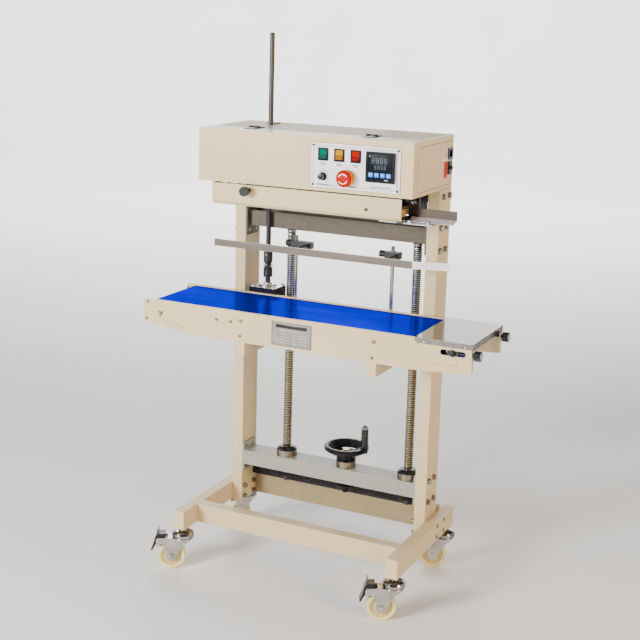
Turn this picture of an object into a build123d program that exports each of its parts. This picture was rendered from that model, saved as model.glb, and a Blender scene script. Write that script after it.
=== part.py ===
from build123d import *
import math
import os

# Floor-standing continuous band sealer with a height-adjustable belt conveyor.
# Millimetres. +X is the machine's right, -Y its front, +Z up. z = 0 is the floor, x = 0 is
# midway between the side frames and y = 0 is UPRIGHT_FRONT ahead of the uprights' front faces.

# --- side frames and rails (50 x 30 and 80 x 30 rectangular tube) ---
BASE_HALF = 316.5
RAIL_W = 30.0
RAIL_H = 50.0
RAIL_FRONT = -190.0
RAIL_BACK = 204.0
RAIL_Z = 116.0
TUBE_WALL = 2.5
RAIL_INNER = BASE_HALF - RAIL_W
RAIL_TOP = RAIL_Z + RAIL_H
REAR_RAIL_TOP = RAIL_TOP + 10.0
CROSS_FRONT = -121.0
UPRIGHT_W = 30.0
UPRIGHT_FRONT = 66.5
UPRIGHT_BACK = 146.5
UPRIGHT_TOP = 1033.0
UPRIGHT_INNER = RAIL_INNER - UPRIGHT_W

# --- bolts ---
BOLT_R = 4.0
BOLT_HOLE_R = 4.2
BOLT_AF = 13.0
BUTTON_R = 5.0
BUTTON_H = 2.2
RAIL_BOLTS = [(y, z) for y in (81.0, 131.0) for z in (126.0, 156.0)]
LOWER_BEAM_BOLTS = [(y, z) for y in (82.0, 118.0) for z in (216.0, 273.0)]
UPPER_BEAM_BOLTS = [(y, z) for y in (82.0, 118.0) for z in (880.0, 938.0)]
HEAD_BOLTS = [(y, 1015.0) for y in (91.0, 131.0)]

# --- cross beams, lead screws and handwheel ---
SCREW_X = (-133.5, 223.0)
WHEEL_X = sum(SCREW_X) / 2
SCREW_Y = 97.0
SCREW_R = 12.0
JOURNAL_R = 8.0
FIT = 0.05
END_PLATE = 5.0
BEAM_WALL = 3.0
LOWER_BEAM_Z = (225.0, 265.0)
UPPER_BEAM_Z = (893.0, 935.0)
COLLAR_R = 28.0
COLLAR_TOP = 291.0
SHOULDER_Z = 281.0
SPROCKET_R = 22.0
SPROCKET_Z = (210.0, 218.0)
RIM_R = 60.0
HANDLE_REACH = 52.0
CHAIN_GUARD_Y = (130.0, 132.0)
CHAIN_GUARD_Z = (178.0, 232.0)

# --- castors ---
CASTOR_Y = (-168.0, 182.0)
CASTOR_X = BASE_HALF - RAIL_W / 2
CASTOR_ANGLES = {"front_left": 206.0, "front_right": 206.0, "rear_left": 238.0, "rear_right": 206.0}
TRAIL = 29.0
TYRE_R = 37.5
TYRE_W = 24.0
AXLE_R = 4.0
FORK_GAP = 15.0
FORK_T = 2.5
PEDAL_PIVOT = (64.0, 79.0)
FORK_FOOT_R = 13.0

# --- head ---
HEAD_X = (-298.0, 284.0)
HEAD_Y = (-110.0, 156.0)
HEAD_Z = (1033.0, 1165.0)
SHEET = 2.0
LID_X = (-285.0, 271.0)
LID_Y = (-41.5, 143.0)
HINGE_Y = -42.0
HINGE_Z = HEAD_Z[1] + 3.0
HINGE_X = (-175.0, 146.5)
GUARD_X = 257.0
GUARD_Z = (976.0, 1031.5)
KNOB_X = -153.0
KNOB_Z = 1016.5
GUARD_SCREW = (167.0, 998.5)

# --- control panel ---
PANEL_X = (18.6, 251.3)
PANEL_Z = (1042.0, 1149.5)
PANEL_FACE = HEAD_Y[0] - 1.5
ROCKER_X = {"green": 51.0, "yellow": 93.5, "red": 136.5}
ROCKER_Z = 1122.5
DIAL = (51.0, 1069.0)
ESTOP = (115.7, 1070.0)
CONTROLLER = (202.0, 1102.0)
CONTROLLER_SIZE = 72.0
INLET_CUT = ((118.0, 144.0), (1108.0, 1130.0))
BREAKER_CUT = ((121.0, 137.0), (1070.0, 1098.0))

# --- sealing unit ---
SEAL_Y = -50.0
SEAL_WHEEL_R = 24.0
SEAL_WHEEL_X = 228.0
SEAL_BAND = 0.8
BAND_CLEAR = 0.3
SEAL_Z = (985.0, 1003.0)
SEAL_PITCH = SEAL_WHEEL_R + BAND_CLEAR + SEAL_BAND + BAND_CLEAR
SHAFT_TOP = 1060.0

# --- conveyor ---
SIDE_FRONT = -178.0
SIDE_BACK = 40.0
SIDE_T = 2.5
SIDE_X = (-417.0, 472.0)
SIDE_TOP = 723.0
SIDE_BOTTOM = 645.0
RIB_R = 2.8
BELT_TOP = 720.0
BELT_T = 2.0
BELT_Y = (-168.5, 30.5)
LEFT_ROLLER = (-385.0, 25.0)
TAIL_ROLLER = (425.0, 20.5)
DRIVE_ROLLER = (-180.0, 692.0, 21.3)
TENSION_Z = BELT_TOP - BELT_T - TAIL_ROLLER[1]
LEFT_Z = BELT_TOP - BELT_T - LEFT_ROLLER[1]
ROLLER_AXLE_R = 6.0
TENSION_INSET = 5.7
TENSION_SCREW_R = 3.0
TENSION_Y = (SIDE_FRONT + TENSION_INSET, SIDE_BACK - TENSION_INSET)
TRAY_X = 331.0
ARM_W = 25.0
ARM_Z = (610.0, SIDE_BOTTOM)
SHAFT_X = -190.0
SHAFT_Y = 72.0
SHAFT_R = 6.5
SHAFT_TIP = 1400.0
GEARBOX_X = (-228.0, -152.0)
GEARBOX_Z = (655.0, 737.0)
CAP_NUTS = [(-367.0, 691.0), (-132.5, 700.5), (226.5, 697.0)]
PAN_SCREWS = [(-405.0, 716.0), (-408.0, 671.0), (-200.8, 695.0), (-159.4, 695.0)]
PAN_SCREWS += [(-133.8, 661.0), (224.5, 657.6)]
NAMEPLATE = ((-44.5, 64.5), (652.5, 713.0))

# --- bag guide bar ---
POST_X = (-94.0, 177.0)
ROD_X = (-58.0, 188.0)
POST_Y = 45.5
POST_R = 5.0
ROD_Z = 864.0
ROD_BACK = 61.0
CLAMP_X = ((-106.0, -48.0), (158.0, 198.0))
CLAMP_SCREW_Y = 50.3
BAR_Y = -43.0


def span(x, y, z):
    """A box between the low and high limits on each axis."""
    low = [min(x), min(y), min(z)]
    size = [max(x) - low[0], max(y) - low[1], max(z) - low[2]]
    return Pos(*[a + b / 2 for a, b in zip(low, size)]) * Box(*size)


def rod_x(y, z, x0, x1, r):
    return Pos((x0 + x1) / 2, y, z) * Rot(0, 90, 0) * Cylinder(r, abs(x1 - x0))


def rod_y(x, z, y0, y1, r):
    return Pos(x, (y0 + y1) / 2, z) * Rot(90, 0, 0) * Cylinder(r, abs(y1 - y0))


def rod_z(x, y, z0, z1, r):
    return Pos(x, y, (z0 + z1) / 2) * Cylinder(r, abs(z1 - z0))


def hexagon(af, height):
    """A hexagonal prism standing on z = 0."""
    return extrude(RegularPolygon(af / 2, 6, major_radius=False), amount=height)


def turned(x, y, profile):
    """A solid turned about the vertical line through x, y from (radius, z) points."""
    face = Plane.XZ * make_face(Polyline(*profile, close=True))
    return Pos(x, y, 0) * revolve(face, Axis.Z)


def plate_xz(points, y0, y1):
    """A flat plate with its outline in X and Z, from y0 (front) to y1 (back)."""
    plane = Plane(origin=(0, y1, 0), x_dir=(1, 0, 0), z_dir=(0, -1, 0))
    return extrude(plane * make_face(Polyline(*points, close=True)), amount=y1 - y0)


def plate_yz(points, x0, x1):
    """A bent or flat section with its outline in Y and Z, from x0 to x1."""
    plane = Plane(origin=(x0, 0, 0), x_dir=(0, 1, 0), z_dir=(1, 0, 0))
    return extrude(plane * make_face(Polyline(*points, close=True)), amount=x1 - x0)


def lobed_knob(radius, height, lobes):
    """A star knob standing on z = 0 with scallops between its lobes."""
    body = Cylinder(radius, height, align=(Align.CENTER, Align.CENTER, Align.MIN))
    for i in range(lobes):
        turn = 2 * math.pi * (i + 0.5) / lobes
        reach = radius * 1.16
        scallop = Cylinder(radius * 0.30, height)
        body -= Pos(reach * math.cos(turn), reach * math.sin(turn), height / 2) * scallop
    return body


def save(name, *shapes):
    solids = [solid for shape in shapes for solid in shape.solids()]
    export_step(Compound(solids) if len(solids) > 1 else solids[0], f"parts/{name}.step")


def bolt_holes(body, places):
    """Clearance holes right across both side frames at each (y, z)."""
    for y, z in places:
        body -= rod_x(y, z, -BASE_HALF - 1, BASE_HALF + 1, BOLT_HOLE_R)
    return body


# ---------------------------------------------------------------- base and frame

def base_rails():
    rails = []
    for side in (-1, 1):
        rail = span((side * RAIL_INNER, side * BASE_HALF), (RAIL_FRONT, RAIL_BACK), (RAIL_Z, RAIL_TOP))
        rail -= span(
            (side * (RAIL_INNER + TUBE_WALL), side * (BASE_HALF - TUBE_WALL)),
            (RAIL_FRONT + TUBE_WALL, RAIL_BACK - TUBE_WALL),
            (RAIL_Z + TUBE_WALL, RAIL_TOP - TUBE_WALL),
        )
        rail = bolt_holes(rail, RAIL_BOLTS)
        for y in CASTOR_Y:
            rail -= rod_z(side * CASTOR_X, y, RAIL_Z - 1, RAIL_Z + TUBE_WALL + 1, 6.1)
        rails.append(rail)
    save("base_rails", *rails)


def cross_rails():
    rails = []
    for y0, top in ((CROSS_FRONT, RAIL_TOP), (UPRIGHT_BACK, REAR_RAIL_TOP)):
        rail = span((-RAIL_INNER, RAIL_INNER), (y0, y0 + RAIL_W), (RAIL_Z, top))
        inner_y = (y0 + TUBE_WALL, y0 + RAIL_W - TUBE_WALL)
        for half, roof in ((RAIL_INNER, RAIL_TOP), (RAIL_INNER - 10, top)):
            rail -= span((-half, half), inner_y, (RAIL_Z + TUBE_WALL, roof - TUBE_WALL))
        rails.append(rail)
    save("cross_rails", *rails)


def uprights():
    posts = []
    for side in (-1, 1):
        across = (side * UPRIGHT_INNER, side * RAIL_INNER)
        post = span(across, (UPRIGHT_FRONT, UPRIGHT_BACK), (RAIL_Z, UPRIGHT_TOP))
        inner_x = (side * (UPRIGHT_INNER + TUBE_WALL), side * (RAIL_INNER - TUBE_WALL))
        inner_y = (UPRIGHT_FRONT + TUBE_WALL, UPRIGHT_BACK - TUBE_WALL)
        post -= span(inner_x, inner_y, (RAIL_Z, UPRIGHT_TOP))
        posts.append(bolt_holes(post, RAIL_BOLTS + LOWER_BEAM_BOLTS + UPPER_BEAM_BOLTS + HEAD_BOLTS))
    save("uprights", *posts)


def cross_beams():
    beams = []
    end_x = UPRIGHT_INNER - END_PLATE
    sections = (
        (LOWER_BEAM_Z, 67.0, 127.0, 1, (205.0, 285.0), LOWER_BEAM_BOLTS, JOURNAL_R + 2),
        (UPPER_BEAM_Z, 82.0, 128.0, -1, (868.0, 948.0), UPPER_BEAM_BOLTS, JOURNAL_R + FIT),
    )
    for (z0, z1), front, back, web, plate_z, bolts, bore in sections:
        beam = span((-end_x, end_x), (front, back), (z0, z1))
        open_z = (z0, z1 - BEAM_WALL) if web > 0 else (z0 + BEAM_WALL, z1)
        beam -= span((-end_x, end_x), (front + BEAM_WALL, back - BEAM_WALL), open_z)
        for side in (-1, 1):
            beam += span((side * end_x, side * UPRIGHT_INNER), (67.0, 130.0), plate_z)
        holes_x = SCREW_X + (WHEEL_X,) if web > 0 else SCREW_X
        for x in holes_x:
            beam -= rod_z(x, SCREW_Y, z0 - 1, z1 + 1, bore)
        beams.append(bolt_holes(beam, bolts))
    save("cross_beams", *beams)


def frame_fasteners():
    """Bolts across the side frames, button heads on the base rails and hex heads above them."""
    joints = [(RAIL_BOLTS, BASE_HALF, UPRIGHT_INNER, True)]
    joints += [(LOWER_BEAM_BOLTS + UPPER_BEAM_BOLTS, RAIL_INNER, UPRIGHT_INNER - END_PLATE, False)]
    joints += [(HEAD_BOLTS, RAIL_INNER, UPRIGHT_INNER - 4.0, True)]
    bolts = []
    for places, face, inner, with_nut in joints:
        for y, z in places:
            bolt = rod_x(y, z, inner - (10 if with_nut else 0), face + 1, BOLT_R)
            if face == BASE_HALF:
                bolt += rod_x(y, z, face, face + BUTTON_H, BUTTON_R)
            else:
                bolt += rod_x(y, z, face, face + 1.6, 8.0)
                bolt += Pos(face + 1.6, y, z) * Rot(0, 90, 0) * hexagon(BOLT_AF, 5.3)
            if with_nut:
                bolt += Pos(inner - 6.5, y, z) * Rot(0, 90, 0) * hexagon(BOLT_AF, 6.5)
            bolts += [bolt, Rot(0, 0, 180) * Pos(0, -2 * y, 0) * bolt]
    x, z = GUARD_SCREW
    bolts.append(rod_y(x, z, HEAD_Y[0] - 2.5, HEAD_Y[0], 4.0))
    save("frame_fasteners", *bolts)


def bearing_collars():
    """Bearing rings for the two lead screws and the handwheel on the lower beam."""
    z0 = LOWER_BEAM_Z[1]
    cap = [(COLLAR_R, SHOULDER_Z + 2), (26.0, SHOULDER_Z + 5), (18.0, COLLAR_TOP)]
    throat = SCREW_R + 0.4
    bore = JOURNAL_R + FIT
    profile = [(bore, z0), (COLLAR_R, z0)] + cap
    profile += [(throat, COLLAR_TOP), (throat, SHOULDER_Z), (bore, SHOULDER_Z)]
    collars = [turned(x, SCREW_Y, profile) for x in SCREW_X]
    plain = [(bore, z0), (COLLAR_R - 1, z0), (COLLAR_R - 1, z0 + 20), (bore, z0 + 20)]
    collars.append(turned(WHEEL_X, SCREW_Y, plain))
    save("bearing_collars", *collars)


def stadium_band(x0, x1, y, z0, z1, r, t):
    """A flat closed loop around two equal wheels, r inside and r + t outside."""
    def loop(radius):
        solid = span((x0, x1), (y - radius, y + radius), (z0, z1))
        return solid + rod_z(x0, y, z0, z1, radius) + rod_z(x1, y, z0, z1, radius)
    return loop(r + t) - loop(r)


def lift_drive():
    """The two lead screws and the handwheel, joined by one guarded chain under the lower beam."""
    chain_z = (SPROCKET_Z[0] + 1, SPROCKET_Z[1] - 1)
    chain = stadium_band(*SCREW_X, SCREW_Y, *chain_z, SPROCKET_R + 0.3, 4.7)
    guard = span((-UPRIGHT_INNER, UPRIGHT_INNER), CHAIN_GUARD_Y, CHAIN_GUARD_Z)
    save("chain_and_guard", chain, guard)
    for name, x in zip(("left", "right"), SCREW_X):
        screw = rod_z(x, SCREW_Y, SHOULDER_Z + 0.3, 890.0, SCREW_R)
        screw += rod_z(x, SCREW_Y, 192.0, SHOULDER_Z + 0.3, JOURNAL_R)
        screw += rod_z(x, SCREW_Y, 890.0, 915.0, JOURNAL_R)
        save(f"lead_screw_{name}", screw, sprocket(x))
    save("handwheel", handwheel(), handwheel_shaft(), sprocket(WHEEL_X))
    save("handwheel_handle", handle())


def sprocket(x):
    return rod_z(x, SCREW_Y, *SPROCKET_Z, SPROCKET_R) - rod_z(x, SCREW_Y, 190, 225, JOURNAL_R)


def handwheel():
    """A dished wheel: a thick rim, a bowl with three windows, a hub and the handle's pin."""
    outer = [(6.0, 287.0), (24.0, 287.0), (27.0, 291.0), (27.0, 297.0), (44.0, 304.0), (56.0, 311.0)]
    rim = [(RIM_R, 314.0), (RIM_R, 320.0), (56.0, 324.0), (49.0, 324.0), (46.0, 319.0)]
    inner = [(40.0, 310.0), (24.0, 303.0), (14.0, 303.0), (14.0, 306.0), (6.0, 306.0)]
    wheel = turned(WHEEL_X, SCREW_Y, outer + rim + inner)
    for i in range(3):
        start = 120 * i + 62
        window = Pos(0, 0, 297) * ring_sector(29.0, 41.0, start, start + 76, 16.0)
        wheel -= Pos(WHEEL_X, SCREW_Y, 0) * window
    for z0, z1, r in ((311.0, 325.0, 9.0), (325.0, 383.0, 3.0), (383.0, 386.3, 4.5)):
        wheel += rod_z(WHEEL_X + HANDLE_REACH, SCREW_Y, z0, z1, r)
    return wheel


def ring_sector(r0, r1, start, end, height):
    """Part of a ring between two angles in degrees, standing on z = 0."""
    points = []
    steps = 8
    for i in range(steps + 1):
        a = math.radians(start + (end - start) * i / steps)
        points.append((1.3 * r1 * math.cos(a), 1.3 * r1 * math.sin(a)))
    wedge = extrude(make_face(Polyline((0, 0), *points, close=True)), amount=height)
    ring = Pos(0, 0, height / 2) * (Cylinder(r1, height) - Cylinder(r0, height))
    return ring & wedge


def handwheel_shaft():
    shaft = rod_z(WHEEL_X, SCREW_Y, 192, 285.3, JOURNAL_R)
    shaft += rod_z(WHEEL_X, SCREW_Y, 285.3, 306, 6.0)
    return shaft + Pos(WHEEL_X, SCREW_Y, 306) * hexagon(16.0, 7.0)


def handle():
    bore = 3.1
    side = [(bore, 325.4), (9.5, 325.4), (10.5, 330.0), (10.0, 345.0)]
    side += [(9.2, 360.0), (9.6, 378.0), (8.5, 382.7)]
    return turned(WHEEL_X + HANDLE_REACH, SCREW_Y, side + [(bore, 382.7)])


# ---------------------------------------------------------------- castors

def castor_places():
    for row, y in zip(("front", "rear"), CASTOR_Y):
        for side, sign in (("left", -1), ("right", 1)):
            name = f"{row}_{side}"
            yield name, Pos(sign * CASTOR_X, y, 0) * Rot(0, 0, CASTOR_ANGLES[name])


def castors():
    """Built with the wheel trailing along +X of each castor, then turned into place."""
    cups = []
    for name, place in castor_places():
        cups.append(place * castor_cup())
        save(f"castor_fork_{name}", place * castor_fork(braked=name.startswith("front")))
        save(f"castor_wheel_{name}", place * castor_wheel())
        if name.startswith("front"):
            save(f"brake_pedal_{name}", place * brake_pedal())
    save("castor_cups", *cups)


def castor_cup():
    dome = [(6.05, 90.0), (27.0, 90.0), (29.0, 93.0), (29.0, 98.0), (26.0, 103.0), (20.0, 106.0)]
    stem = [(12.0, 107.0), (12.0, RAIL_Z), (6.0, RAIL_Z), (6.0, 128.0), (0.0, 128.0)]
    return turned(0, 0, dome + stem + [(0.0, 101.5), (6.05, 101.5)])


def castor_fork(braked):
    """Crown plate with its king pin, two cheeks reaching to the axle, and the axle bolt."""
    half = FORK_GAP + FORK_T
    fork = span((0, 40), (-half, half), (85.0, 88.0)) + rod_z(0, 0, 85, 89.7, 25.0)
    fork += rod_z(0, 0, 84, 101, 6.0)
    front = [(TRAIL - FORK_FOOT_R, TYRE_R), (5, 57), (-1, 68), (-15, 79), (-22, 85), (-22, 88)]
    rear = [(66, 88), (70, 82), (69, 66), (58, 70), (50, 69)] if braked else [(40, 88), (45, 76)]
    cheek = front + rear + [(44, 60), (TRAIL + FORK_FOOT_R, TYRE_R)]
    for y0 in (-half, FORK_GAP):
        fork += plate_xz(cheek, y0, y0 + FORK_T) + rod_y(TRAIL, TYRE_R, y0, y0 + FORK_T, FORK_FOOT_R)
    fork += rod_y(TRAIL, TYRE_R, -half, half, AXLE_R)
    for y, turn in ((-half, 90), (half, -90)):
        fork += Pos(TRAIL, y, TYRE_R) * Rot(turn, 0, 0) * hexagon(13.0, 5.0)
    if braked:
        fork += rod_y(*PEDAL_PIVOT, -half - 1, half + 1, 3.0)
    return fork


def castor_wheel():
    half = TYRE_W / 2
    tread = [(TYRE_R - 4.0, -half), (TYRE_R - 0.9, -half + 4), (TYRE_R, -half + 9)]
    tread += [(r, -z) for r, z in reversed(tread)]
    web = [(28.0, half - 1.5), (26.0, half - 5.0), (16.0, half - 5.0)]
    web += [(14.0, half + 1.0), (AXLE_R + FIT, half + 1.0)]
    profile = [(r, -z) for r, z in reversed(web)] + tread + web
    return Pos(TRAIL, 0, TYRE_R) * Rot(90, 0, 0) * turned(0, 0, profile)


def brake_pedal():
    """A brake block between the fork cheeks, with an upright release tab and a lower foot tab."""
    x, z = PEDAL_PIVOT
    block = [(x - 17, z + 20), (x - 17, z + 5), (x - 10, z - 10), (x - 4, z - 15), (x + 5, z - 7)]
    foot = [(x + 9, z - 14), (x + 17, z - 28), (x + 20, z - 26), (x + 13, z - 8), (x + 9, z + 9)]
    tab = [(x + 4, z + 19), (x + 3, z + 31), (x + 0.5, z + 31), (x, z + 20)]
    arm = plate_xz(block + foot + tab, -FORK_GAP + 1.0, FORK_GAP - 1.0)
    return arm - rod_y(x, z, -20, 20, 3.05)


# ---------------------------------------------------------------- head

def head_housing():
    (x0, x1), (y0, y1), (z0, z1) = HEAD_X, HEAD_Y, HEAD_Z
    shell = span((x0, x1), (y0, y1), (z0, z1))
    shell = fillet(shell.edges().filter_by(Axis.Z), 3.0)
    shell -= span((x0 + SHEET, x1 - SHEET), (y0 + SHEET, y1 - SHEET), (z0, z1 - SHEET))
    shell += span((LID_X[0] - 10, LID_X[1] + 10), (LID_Y[0] - 8, y1 - 1), (z1 - 4, z1 - SHEET))
    shell -= span((LID_X[0] + 7, LID_X[1] - 7), (LID_Y[0] + 6, LID_Y[1] - 7), (z1 - 5, z1 + 1))
    shell -= span((LID_X[0] - 1, LID_X[1] + 1), (LID_Y[0] - 1, LID_Y[1] + 1), (z1 - SHEET, z1 + 1))
    for x in ROCKER_X.values():
        shell -= span((x - 11, x + 11), (y0 - 1, y0 + 5), (ROCKER_Z - 14, ROCKER_Z + 14))
    shell -= rod_y(*DIAL, y0 - 1, y0 + 5, 3.4) + rod_y(*ESTOP, y0 - 1, y0 + 5, 11.1)
    half = CONTROLLER_SIZE / 2 - 2.5
    cx, cz = CONTROLLER
    shell -= span((cx - half, cx + half), (y0 - 1, y0 + 5), (cz - half, cz + half))
    groove = span((x1 - 0.8, x1 + 1), (-82, 141), (1042, 1152))
    groove -= span((x1 - 1, x1 + 2), (-80.5, 139.5), (1043.5, 1150.5))
    shell -= groove
    for y, z in (INLET_CUT, BREAKER_CUT):
        shell -= span((x1 - 5, x1 + 1), y, z)
    save("head_housing", shell)


def lid():
    z1 = HEAD_Z[1]
    plate = span(LID_X, LID_Y, (z1 - SHEET, z1))
    plate -= span((SHAFT_X - 10, SHAFT_X + 10), (SHAFT_Y, LID_Y[1] + 1), (z1 - 5, z1 + 1))
    plate -= rod_z(SHAFT_X, SHAFT_Y, z1 - 5, z1 + 1, 10)
    moving = []
    fixed = []
    for x in HINGE_X:
        leaf = span((x - 15, x + 15), (HINGE_Y + 3.6, -13), (z1, z1 + 2))
        knuckle = rod_x(HINGE_Y, HINGE_Z, x - 15, x + 15, 3.0)
        gap = span((x - 5.3, x + 5.3), (HINGE_Y - 4, HINGE_Y + 3.6), (z1 - 1, z1 + 8))
        leaf += span((x - 15, x + 15), (HINGE_Y, HINGE_Y + 4), (z1, z1 + 2)) + knuckle - gap
        moving.append(leaf - rod_x(HINGE_Y, HINGE_Z, x - 16, x + 16, 1.55))
        base = span((x - 15, x + 15), (-71, HINGE_Y - 3.6), (z1, z1 + 2))
        base += span((x - 5, x + 5), (HINGE_Y - 4, HINGE_Y), (z1, z1 + 2))
        base += rod_x(HINGE_Y, HINGE_Z, x - 5, x + 5, 3.0)
        fixed.append(base + rod_x(HINGE_Y, HINGE_Z, x - 16, x + 16, 1.5))
    save("head_lid", plate, *moving)
    save("lid_hinges", *fixed)


def front_guard():
    y0 = HEAD_Y[0]
    z0, z1 = GUARD_Z
    outer = [(y0, z1), (y0, z0 + 8), (y0 + 7, z0), (y0 + 20, z0)]
    inner = [(y0 + 20, z0 + 1.5), (y0 + 7.7, z0 + 1.5), (y0 + 1.5, z0 + 8.6), (y0 + 1.5, z1)]
    guard = plate_yz(outer + inner, -GUARD_X, GUARD_X)
    for x in (-240.0, 240.0):
        guard += span((x - 10, x + 10), (y0 + 1.5, y0 + 5.5), (990, HEAD_Z[0]))
    save("front_guard", guard - rod_y(KNOB_X, KNOB_Z, y0 - 1, y0 + 2, 4.2))
    knob = Pos(KNOB_X, y0 - 16, KNOB_Z) * Rot(90, 0, 0) * lobed_knob(12.5, 12, 10)
    knob += rod_y(KNOB_X, KNOB_Z, y0 - 16, y0 + 12, 4.0)
    knob += rod_y(KNOB_X, KNOB_Z, y0 + 1.9, y0 + 6, 7.0)
    knob += rod_y(KNOB_X, KNOB_Z, y0 - 6, y0 - 0.4, 7.0)
    save("guard_knob", knob)


def control_panel():
    y0 = PANEL_FACE
    plate = span(PANEL_X, (y0, HEAD_Y[0]), PANEL_Z)
    bezels = []
    for name, x in ROCKER_X.items():
        window = span((x - 9.5, x + 9.5), (y0 - 3, y0 + 16), (ROCKER_Z - 12.5, ROCKER_Z + 12.5))
        bezel = span((x - 13.5, x + 13.5), (y0 - 2, y0), (ROCKER_Z - 15.5, ROCKER_Z + 15.5))
        plate -= span((x - 11, x + 11), (y0 - 1, y0 + 3), (ROCKER_Z - 14, ROCKER_Z + 14))
        bezel += span((x - 11, x + 11), (y0, y0 + 24), (ROCKER_Z - 14, ROCKER_Z + 14))
        bezels.append(bezel - window)
        pivot = y0 + 5
        low, high = ROCKER_Z - 11.4, ROCKER_Z + 11.4
        face = [(pivot - 8.5, low), (pivot - 7.0, ROCKER_Z), (pivot - 8.5, high)]
        paddle = plate_yz(face + [(pivot + 3, high), (pivot + 3, low)], x - 9.1, x + 9.1)
        paddle += rod_x(pivot, ROCKER_Z, x - 9.4, x + 9.4, 2.0)
        tilt = Pos(0, pivot, ROCKER_Z) * Rot(-6, 0, 0) * Pos(0, -pivot, -ROCKER_Z)
        save(f"rocker_{name}", tilt * paddle)
    plate -= rod_y(*DIAL, y0 - 1, y0 + 3, 3.4) + rod_y(*ESTOP, y0 - 1, y0 + 3, 11.1)
    half = CONTROLLER_SIZE / 2 - 2.5
    cx, cz = CONTROLLER
    plate -= span((cx - half, cx + half), (y0 - 1, y0 + 3), (cz - half, cz + half))
    save("control_panel", plate)
    collar = rod_y(*ESTOP, y0 - 6.5, y0, 15.0) + rod_y(*ESTOP, y0, y0 + 20, 11.0)
    collar -= rod_y(*ESTOP, y0 - 8, y0 + 22, 7.3)
    edge = CONTROLLER_SIZE / 2
    case = span((cx - edge, cx + edge), (y0 - 9, y0), (cz - edge, cz + edge))
    case -= span((cx - edge + 5, cx + edge - 5), (y0 - 10, y0 - 7.5), (cz - edge + 5, cz + edge - 5))
    case += span((cx - half, cx + half), (y0, y0 + 50), (cz - half, cz + half))
    pot = rod_y(*DIAL, y0 + 1.5 + SHEET, y0 + 22, 11.0) - rod_y(*DIAL, y0, y0 + 16, 3.4)
    save("panel_fittings", *bezels, collar, case, pot)
    dial = Pos(DIAL[0], y0 - 2, DIAL[1]) * Rot(90, 0, 0) * (cone_knob() - pointer_slot())
    save("speed_knob", dial + rod_y(*DIAL, y0 - 3, y0 + 14, 3.0))
    save("estop_button", estop_button(y0))


def cone_knob():
    profile = [(0, 0), (8.5, 0), (8.5, 2.5), (7.0, 3.5), (6.5, 13.0), (5.7, 14.0), (0, 14.0)]
    return turned(0, 0, profile)


def pointer_slot():
    return Pos(0, 4.0, 13.6) * Box(1.4, 6.0, 1.2)


def estop_button(y0):
    head = [(0, 12.5), (18.5, 12.5), (20.3, 15.0), (20.5, 20.0), (18.5, 24.0), (13.0, 26.5), (0, 27.5)]
    cap = Pos(ESTOP[0], y0, ESTOP[1]) * Rot(90, 0, 0) * turned(0, 0, head)
    return cap + rod_y(*ESTOP, y0 - 13, y0 + 12, 7.0)


def power_inlet():
    x1 = HEAD_X[1]
    inlet = span((x1, x1 + 3), (115, 147), (1105, 1133)) + span((x1 - 25, x1), *INLET_CUT)
    inlet -= span((x1 - 14, x1 + 4), (120.5, 141.5), (1110.5, 1127.5))
    for y, z in ((131, 1123), (125, 1116), (137, 1116)):
        inlet += span((x1 - 15, x1 - 3), (y - 1, y + 1), (z - 2, z + 2))
    breaker = span((x1, x1 + 4), (119, 139), (1068, 1100)) + span((x1 - 30, x1), *BREAKER_CUT)
    breaker += rod_x(129, 1084, x1 + 4, x1 + 9, 5.0)
    save("power_inlet", inlet, breaker)


def sealing_unit():
    """The floor of the head carries the heating and cooling blocks, the wheels and the bands."""
    z0 = HEAD_Z[0]
    across = (HEAD_X[0] + SHEET, HEAD_X[1] - SHEET)
    floor = span(across, (HEAD_Y[0] + SHEET, HEAD_Y[1] - SHEET), (z0, z0 + 4))
    inner = UPRIGHT_INNER
    for side in (-1, 1):
        floor += span((side * (inner - 4), side * inner), (75, 144), (1000, z0 + 4))
    floor = bolt_holes(floor, HEAD_BOLTS)
    floor += rod_z(SHAFT_X, SHAFT_Y, z0, 1062, 16.0)
    floor -= rod_z(SHAFT_X, SHAFT_Y, z0 - 1, 1070, SHAFT_R + FIT)
    wheel_y = {"front": SEAL_Y - SEAL_PITCH, "rear": SEAL_Y + SEAL_PITCH}
    bands = []
    for row, y in wheel_y.items():
        radius = SEAL_WHEEL_R + BAND_CLEAR
        bands.append(stadium_band(-SEAL_WHEEL_X, SEAL_WHEEL_X, y, *SEAL_Z, radius, SEAL_BAND))
        for role, x in (("drive", -SEAL_WHEEL_X), ("idler", SEAL_WHEEL_X)):
            floor += rod_z(x, y, z0, 1045, 12.0)
            floor -= rod_z(x, y, z0 - 1, 1050, 5.0 + FIT)
            wheel = rod_z(x, y, SEAL_Z[0] + 1, SEAL_Z[1] - 1, SEAL_WHEEL_R)
            wheel += rod_z(x, y, 980, SHAFT_TOP, 5.0)
            wheel += Pos(x, y, 977) * hexagon(10.0, 3.0)
            save(f"seal_wheel_{row}_{role}", wheel)
    blocks = []
    gap = BAND_CLEAR + SEAL_BAND + BAND_CLEAR
    for sign in (-1, 1):
        y0 = SEAL_Y + sign * (gap + 0.3)
        for x0, x1 in ((-70.0, 30.0), (60.0, 140.0)):
            block = span((x0, x1), (y0, y0 + sign * 14), (982, 1006))
            for x in (x0 + 15, x1 - 15):
                block += rod_z(x, y0 + sign * 7, 1006, z0, 4.0)
            blocks.append(block)
    save("sealing_frame", floor, *blocks)
    save("seal_bands", *bands)


def drive_motor():
    z0 = HEAD_Z[0] + 4
    box = span((-110, -30), (50, 130), (z0, z0 + 80)) + rod_x(90, z0 + 45, -30, 100, 36.0)
    box += span((-20, 90), (60, 120), (z0, z0 + 20))
    save("drive_motor", box + rod_z(-70, 90, z0 + 80, z0 + 92, 7.0))


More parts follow.
